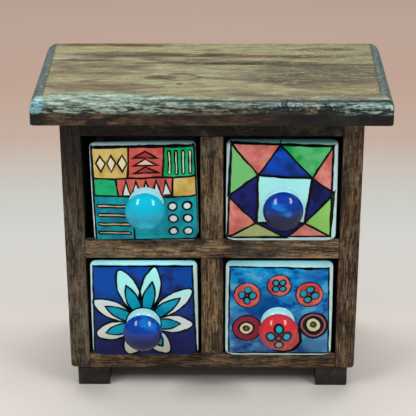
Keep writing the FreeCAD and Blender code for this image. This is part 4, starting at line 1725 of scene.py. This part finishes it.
@dataclass
class Drawer:
    """One ceramic drawer: a pillowed front on an open tray, with its knob.

    Attributes:
        place: the drawer's place and body name, such as upper_left.
        slot: the record's material slot of the drawer.
        knob_slot: the slot of its knob.
        glaze: the kind of glaze on its front.
        knob_tones: the knob glaze's fields.
        lean: how far its front stands askew, in degrees.
        front_thickness: the front's thickness.
        front_height: the front's height.
        tray_drop: how far the tray's rim is below the front's top.
        wall: the thickness of the tray's walls and floor.
        tray_inset: how far the tray's sides stand in from the front's.
        bulge: how far the front's middle stands out beyond its edges.
        knob_radius: the knob's radius.
        knob_reach: the distance from the face to the knob's widest ring.
        front_bulge: from that ring to the knob's front.
        back_bulge: from that ring back to where its head would close.
        neck: the radius of its neck.
        cove: the radius of the hollow where the neck meets the front.
        FACE_ROUND: how far the round along the face's edges reaches inwards and backwards.
        BACK_ROUND: the radius along the front's rear edges.
        HALF: half the front's width and height.
        WARP: how deep the face's slow waves are.
        TAPER: how far each side of the front draws in towards its top.
        TRAY_START: how far behind the face the tray starts, inside the front.
        FOOT_ROUND: the radius along the tray's lower edges.
        FLOOR_ROUND: the radius between the tray's walls and its floor, inside.
        KNOB_SINK: how deep the neck goes into the front.
        KNOB_EASE: how much of the CAD's radius the knob's skin keeps.
        KNOB_PRESS: how deep the potter's fingers left their marks in the knob.
        TURNS: how many points a ring of the knob has.
        COVE_RINGS: how many rings its cove has after the first.
        REAR_RINGS: how many steps lead from the neck to its widest ring.
        FRONT_RINGS: how many rings lead from there to its front.
    """

    FACE_ROUND = (5.4, 4.4)
    BACK_ROUND = 0.8
    HALF = (31.5, 31.0)
    WARP = 0.18
    TAPER = 0.4
    TRAY_START = 1.5
    FOOT_ROUND = 1.6
    FLOOR_ROUND = 3.0
    KNOB_SINK = 1.2
    KNOB_EASE = 0.999
    KNOB_PRESS = 0.05
    TURNS = 72
    COVE_RINGS = 8
    REAR_RINGS = 12
    FRONT_RINGS = 24

    place: str
    slot: str
    knob_slot: str
    glaze: type[Glaze]
    knob_tones: dict
    lean: float = 0.0
    front_thickness: float = 6.0
    front_height: float = 62.0
    tray_drop: float = 10.0
    wall: float = 4.5
    tray_inset: float = 2.1
    bulge: float = 0.9
    knob_radius: float = 11.4
    knob_reach: float = 11.1
    front_bulge: float = 8.2
    back_bulge: float = 6.5
    neck: float = 6.2
    cove: float = 3.8
    low: np.ndarray = field(init=False)
    high: np.ndarray = field(init=False)

    def __post_init__(self) -> None:
        """Reads the drawer's box from the frame."""
        self.low, self.high = node_box(f"{self.place}_drawer")

    @property
    def middle(self) -> Pair:
        """Gives the front's middle, across and upwards."""
        return float(self.low[0] + self.high[0]) / 2, float(self.low[2]) + self.front_height / 2

    @property
    def knob_middle(self) -> Pair:
        """Gives the knob's middle, across and upwards."""
        low, high = node_box(f"{self.place}_knob")
        return float(low[0] + high[0]) / 2, float(low[2] + high[2]) / 2

    @property
    def seed(self) -> float:
        """Gives this drawer's own place in the noise."""
        return self.middle[0] * 3.1 + self.middle[1] * 0.7

    def _front(self) -> Skin:
        """Works out the front's skin, with its pillowed face.

        Returns:
            The skin.
        """
        low = self.low.copy()
        high = np.array([self.high[0], low[1] + self.front_thickness, low[2] + self.front_height])
        inwards, backwards = self.FACE_ROUND
        face = Ring(inwards, 0.0)
        rings = [face, *arc_rings(face, Ring(0.0, backwards), 10, hollow=True)]
        rings += straight_rings(rings[-1], Ring(0.0, self.front_thickness - self.BACK_ROUND), 2)
        rings += arc_rings(rings[-1], Ring(self.BACK_ROUND, self.front_thickness), 3)
        points, faces = Shell(low, high, Axis.BACKWARDS, rings, cell=0.9, corner=3.2).points()
        across = (points[:, 0] - self.middle[0]) / self.HALF[0]
        upwards = (points[:, 2] - self.middle[1]) / self.HALF[1]
        edge = np.clip(np.maximum(np.abs(across), np.abs(upwards)), 0, 1)
        on_face = np.clip((low[1] + backwards - points[:, 1]) / backwards, 0, 1)
        points[:, 1] += on_face * self.bulge * edge**4
        shift = Vector((0, 0, self.seed))
        warp = np.array([noise.noise(Vector(point) * 0.045 + shift) for point in points])
        points[:, 1] += on_face * self.WARP * (1 + warp)
        points[:, 0] -= across * self.TAPER * np.clip(upwards, 0, 1)
        if self.lean:
            points = self._leaned(points)
        return points, faces

    def _leaned(self, points: np.ndarray) -> np.ndarray:
        """Turns the front a little in its own plane, inside its box.

        Args:
            points: the front's points in millimetres.

        Returns:
            The turned points.
        """
        angle = math.radians(self.lean)
        shrink = 1 - 2 * abs(math.sin(angle))
        across = (points[:, 0] - self.middle[0]) * shrink
        upwards = (points[:, 2] - self.middle[1]) * shrink
        turned = points.copy()
        turned[:, 0] = self.middle[0] + across * math.cos(angle) - upwards * math.sin(angle)
        turned[:, 2] = self.middle[1] + across * math.sin(angle) + upwards * math.cos(angle)
        return turned

    def _tray(self) -> Skin:
        """Works out the open tray behind the front.

        Returns:
            The skin.
        """
        low = np.array([self.low[0] + self.tray_inset, self.low[1] + self.TRAY_START, self.low[2]])
        top = self.low[2] + self.front_height - self.tray_drop
        high = np.array([self.high[0] - self.tray_inset, self.high[1], top])
        height = float(high[2] - low[2])
        rim = self.wall / 2
        inner_round = self.wall + self.FLOOR_ROUND
        first = Ring(self.FOOT_ROUND, 0.0)
        rings = [first, *arc_rings(first, Ring(0.0, self.FOOT_ROUND), 4, hollow=True)]
        rings += straight_rings(rings[-1], Ring(0.0, height - rim), 8)
        rings += arc_rings(rings[-1], Ring(rim, height), 4)
        rings += arc_rings(rings[-1], Ring(self.wall, height - rim), 4, hollow=True)
        rings += straight_rings(rings[-1], Ring(self.wall, inner_round), 8)
        rings += arc_rings(rings[-1], Ring(inner_round, self.wall), 4)
        return Shell(low, high, Axis.UPWARDS, rings, cell=2.2, corner=3.0).points()

    def _profile(self) -> list[Pair]:
        """Works out the outline that the knob is turned to, from its neck to its front.

        Returns:
            How far each ring is from the face, and its radius.
        """
        profile = [(-self.KNOB_SINK, self.neck + self.cove - 0.1)]
        for step in range(self.COVE_RINGS + 1):
            angle = math.pi / 2 * step / self.COVE_RINGS
            away = self.cove * (1 - math.cos(angle))
            profile.append((away, self.neck + self.cove * (1 - math.sin(angle))))
        meet = math.acos(self.neck / self.knob_radius)
        rear, ahead = self.REAR_RINGS, self.FRONT_RINGS
        behind = [(meet * (1 - step / rear), -self.back_bulge) for step in range(1, rear)]
        before = [(math.pi / 2 * step / ahead, self.front_bulge) for step in range(ahead)]
        for angle, bulge in behind + before:
            away = self.knob_reach + bulge * math.sin(angle)
            profile.append((away, self.knob_radius * math.cos(angle)))
        return profile

    def _knob(self) -> Skin:
        """Works out the thrown knob, ring by ring, with a point at its front.

        Returns:
            The skin.
        """
        middle, face = self.knob_middle, float(self.low[1])
        profile, turns = self._profile(), self.TURNS
        points = []
        for away, radius in profile:
            for turn in range(turns):
                angle = 2 * math.pi * turn / turns
                across, upwards = radius * math.cos(angle), radius * math.sin(angle)
                x, z = middle[0] + across * self.KNOB_EASE, middle[1] + upwards * self.KNOB_EASE
                points.append((x, face - away, z))
        points.append((middle[0], face - self.knob_reach - self.front_bulge, middle[1]))
        faces = []
        for start in range(0, (len(profile) - 1) * turns, turns):
            for k in range(turns):
                beside = (k + 1) % turns
                faces.append((start + k, start + turns + k, start + turns + beside, start + beside))
        last = (len(profile) - 1) * turns
        faces += [(last + k, len(points) - 1, last + (k + 1) % turns) for k in range(turns)]
        faces.append(tuple(range(turns - 1, -1, -1)))
        return np.array(points), outward(np.array(points), faces)

    def _finger_mark(self, point: Vector, normal: Vector) -> float:
        """Gives how deep the knob is pressed in at a point, whichever way it looks."""
        return self.KNOB_PRESS * (1 + noise.noise(point * 0.16 + Vector((self.seed, 0, 0))))

    def build(self) -> None:
        """Builds and dresses the drawer and its knob."""
        front, front_faces = self._front()
        tray, tray_faces = self._tray()
        points = np.concatenate([front, tray])
        faces = front_faces + [tuple(number + len(front) for number in face) for face in tray_faces]
        drawer = make_piece(f"{self.place}_drawer_clay", points, faces)
        face = float(self.low[1])
        glaze = self.glaze(f"{self.place}_glaze", self.middle, face, self.seed, self.lean)
        settle(drawer, self.place, self.slot, glaze.build(), f"{self.place}_drawer")
        knob = make_piece(f"{self.place}_knob_clay", *self._knob())
        press_in(knob, self._finger_mark)
        name = f"{self.place}_knob_glaze"
        coat = KnobGlaze(name, self.knob_middle, face, self.seed, **self.knob_tones)
        settle(knob, self.place, self.knob_slot, coat.build(), f"{self.place}_knob")


@dataclass
class Studio:
    """A plain pale floor that runs up into a wall, soft lamps and the camera.

    Attributes:
        eye: the camera's place in millimetres.
        down: how far it looks down, in degrees.
        aside: how far it looks to the side.
        roll: how far it is rolled.
        lens: its focal length.
        lamp_power: the power of each long window lamp, in watts.
        skylight_power: the power of the lamp above and behind the chest.
        air: the brightness of the air.
        air_seen: how much less of it the camera sees past the paper.
        TARGET: the place that every lamp faces, in metres.
        WINDOW_AT: the middle of the right window lamp, in metres; the left one mirrors it.
        WINDOW_ALONG: the direction of its length.
        WINDOW_SIZE: its length and width.
        SKYLIGHT_AT: the middle of the lamp above and behind the chest.
        SKYLIGHT_SIZE: its length and width.
        PAPER_NEAR: where the paper starts before the chest, in millimetres.
        PAPER_TURN: where it starts to bend up behind it.
        PAPER_BEND: the radius of its bend.
        PAPER_TOP: how high it goes.
        PAPER_HALF: half its width.
        PAPER_RINGS: how many steps its bend has.
        PAPER_PACE: how far its tones move on for each millimetre backwards or upwards.
        PAPER_START: how far they have come under the chest's middle.
        PAPER: its tones, from near the camera to high up the wall; the stop at 0.19 is paler than its
            neighbours, as painted light on the floor beside the chest where the lamps' shadows fall.
    """

    TARGET = (0.0, 0.0, 0.09)
    WINDOW_AT = (0.79, -0.48, 1.06)
    WINDOW_ALONG = (0.02, -0.87, -0.49)
    WINDOW_SIZE = (0.88, 0.26)
    SKYLIGHT_AT = (0.0, 0.34, 1.15)
    SKYLIGHT_SIZE = (1.0, 0.45)
    PAPER_NEAR = -3000.0
    PAPER_TURN = 900.0
    PAPER_BEND = 500.0
    PAPER_TOP = 4000.0
    PAPER_HALF = 4000.0
    PAPER_RINGS = 24
    PAPER_PACE = 0.00125
    PAPER_START = 0.125
    PAPER = (
        (0.0, "d2cec8"),
        (0.09, "cdc7c1"),
        # This stop is painted light: it makes the floor beside the chest paler where the lamps cast the
        # chest's shadow.
        (0.19, "d4d0ca"),
        (0.29, "c8c7c3"),
        (0.42, "b7b9b4"),
        (0.57, "b29f93"),
        (0.76, "b49a8c"),
        (0.97, "baa599"),
    )

    eye: tuple[float, float, float] = (8.446, -780.205, 476.089)
    down: float = 25.441
    aside: float = -0.817
    roll: float = -0.23
    lens: float = 126.12
    lamp_power: float = 9.8
    skylight_power: float = 7.5
    air: float = 0.29
    air_seen: float = 0.08

    def _camera(self) -> None:
        """Sets the camera at the photograph's viewing angle."""
        down, aside, roll = (math.radians(angle) for angle in (self.down, self.aside, self.roll))
        ahead = Vector((math.sin(aside) * math.cos(down), math.cos(aside) * math.cos(down), -math.sin(down)))
        right = ahead.cross(Vector((0, 0, 1))).normalized()
        up = right.cross(ahead)
        turned_right = right * math.cos(roll) + up * math.sin(roll)
        turned_up = up * math.cos(roll) - right * math.sin(roll)
        data = bpy.data.cameras.new("camera")
        data.lens = self.lens
        data.sensor_width = 36.0
        data.sensor_fit = "HORIZONTAL"
        data.clip_end = 50.0
        camera = bpy.data.objects.new("camera", data)
        bpy.context.scene.collection.objects.link(camera)
        turn = Matrix((turned_right, turned_up, -ahead)).transposed()
        camera.matrix_world = Matrix.Translation(Vector(self.eye) * MM) @ turn.to_4x4()
        bpy.context.scene.camera = camera

    def _lamp(self, name: str, at: Vector, along: Vector, size: Pair, power: float) -> None:
        """Hangs one long lamp that shines on the chest.

        Args:
            name: its name.
            at: its middle, in metres.
            along: the direction of its length.
            size: its length and width in metres.
            power: its power in watts.
        """
        data = bpy.data.lights.new(name, "AREA")
        data.shape = "RECTANGLE"
        data.size, data.size_y = size
        data.energy = power
        lamp = bpy.data.objects.new(name, data)
        bpy.context.scene.collection.objects.link(lamp)
        back = (at - Vector(self.TARGET)).normalized()
        side = back.cross(along).normalized()
        turn = Matrix((side.cross(back), side, back)).transposed()
        lamp.matrix_world = Matrix.Translation(at) @ turn.to_4x4()

    def _sweep(self) -> None:
        """Lays the floor and bends it up into the wall."""
        turn, bend = self.PAPER_TURN, self.PAPER_BEND
        profile = [(self.PAPER_NEAR, 0.0), (turn, 0.0)]
        for step in range(1, self.PAPER_RINGS + 1):
            angle = math.pi / 2 * step / self.PAPER_RINGS
            profile.append((turn + bend * math.sin(angle), bend * (1 - math.cos(angle))))
        profile.append((turn + bend, self.PAPER_TOP))
        points = [(x, y, z) for y, z in profile for x in (-self.PAPER_HALF, self.PAPER_HALF)]
        faces = [(start, start + 1, start + 3, start + 2) for start in range(0, len(points) - 2, 2)]
        sweep = make_piece("studio_sweep", np.array(points), faces)
        graph = Graph("studio_paper")
        _, y, z = graph.parts(graph.place())
        far = (y + z) * self.PAPER_PACE + self.PAPER_START
        colour = graph.ramp(far, self.PAPER)
        graph.finish(colour, 0.9, None, 0.0, Specular_IOR_Level=0.1)
        sweep.data.materials.append(graph.material)

    def build(self) -> None:
        """Sets up floor, lamps, world and camera."""
        self._sweep()
        for name, way in (("window_left", -1.0), ("window_right", 1.0)):
            mirrored = Vector((way, 1.0, 1.0))
            at, along = Vector(self.WINDOW_AT) * mirrored, Vector(self.WINDOW_ALONG) * mirrored
            self._lamp(name, at, along, self.WINDOW_SIZE, self.lamp_power)
        across = Vector((1.0, 0.0, 0.0))
        self._lamp("skylight", Vector(self.SKYLIGHT_AT), across, self.SKYLIGHT_SIZE, self.skylight_power)
        world = bpy.data.worlds.new("studio_world")
        bpy.context.scene.world = world
        graph = Graph("studio_air", world)
        seen = graph.add("ShaderNodeLightPath", {}, {}, "Is Camera Ray")
        feeds = {"Color": tone("ffffff"), "Strength": self.air - seen * self.air_seen}
        air = graph.add("ShaderNodeBackground", {}, feeds)
        graph.add("ShaderNodeOutputWorld", {}, {"Surface": air})
        bpy.context.scene.view_settings.view_transform = "Standard"
        self._camera()


def drawers() -> list[Drawer]:
    """Lists the four drawers with their glazes.

    Returns:
        The drawers, the upper ones first.
    """
    return [
        Drawer(
            "upper_left",
            "patchwork_glaze",
            "turquoise_glaze",
            PatchworkGlaze,
            {"upper": "00b8d8", "lower": "009cb8", "strokes": "02cce6"},
            lean=1.3,
        ),
        Drawer(
            "upper_right",
            "star_glaze",
            "cobalt_glaze",
            StarGlaze,
            {"upper": "033698", "lower": "060a3a", "strokes": "0c74cc", "lit": ((-5.0, 6.0), (2.4, 2.2))},
        ),
        Drawer(
            "lower_left",
            "daisy_glaze",
            "cobalt_glaze",
            DaisyGlaze,
            {"upper": "01389c", "lower": "0a1450", "strokes": "0472c8", "lit": ((0.5, 9.6), (6.6, 6.0))},
        ),
        Drawer(
            "lower_right",
            "rosette_glaze",
            "red_glaze",
            RosetteGlaze,
            {"upper": "cc2c38", "lower": "b83c46", "strokes": "dc4650", "flower": True},
        ),
    ]


def main() -> None:
    """Builds the whole chest and its studio."""
    logging.basicConfig(level=logging.INFO, format="%(name)s: %(message)s")
    Studio().build()
    Roof().build()
    Case().build()
    for drawer in drawers():
        drawer.build()


if __name__ == "__main__":
    main()
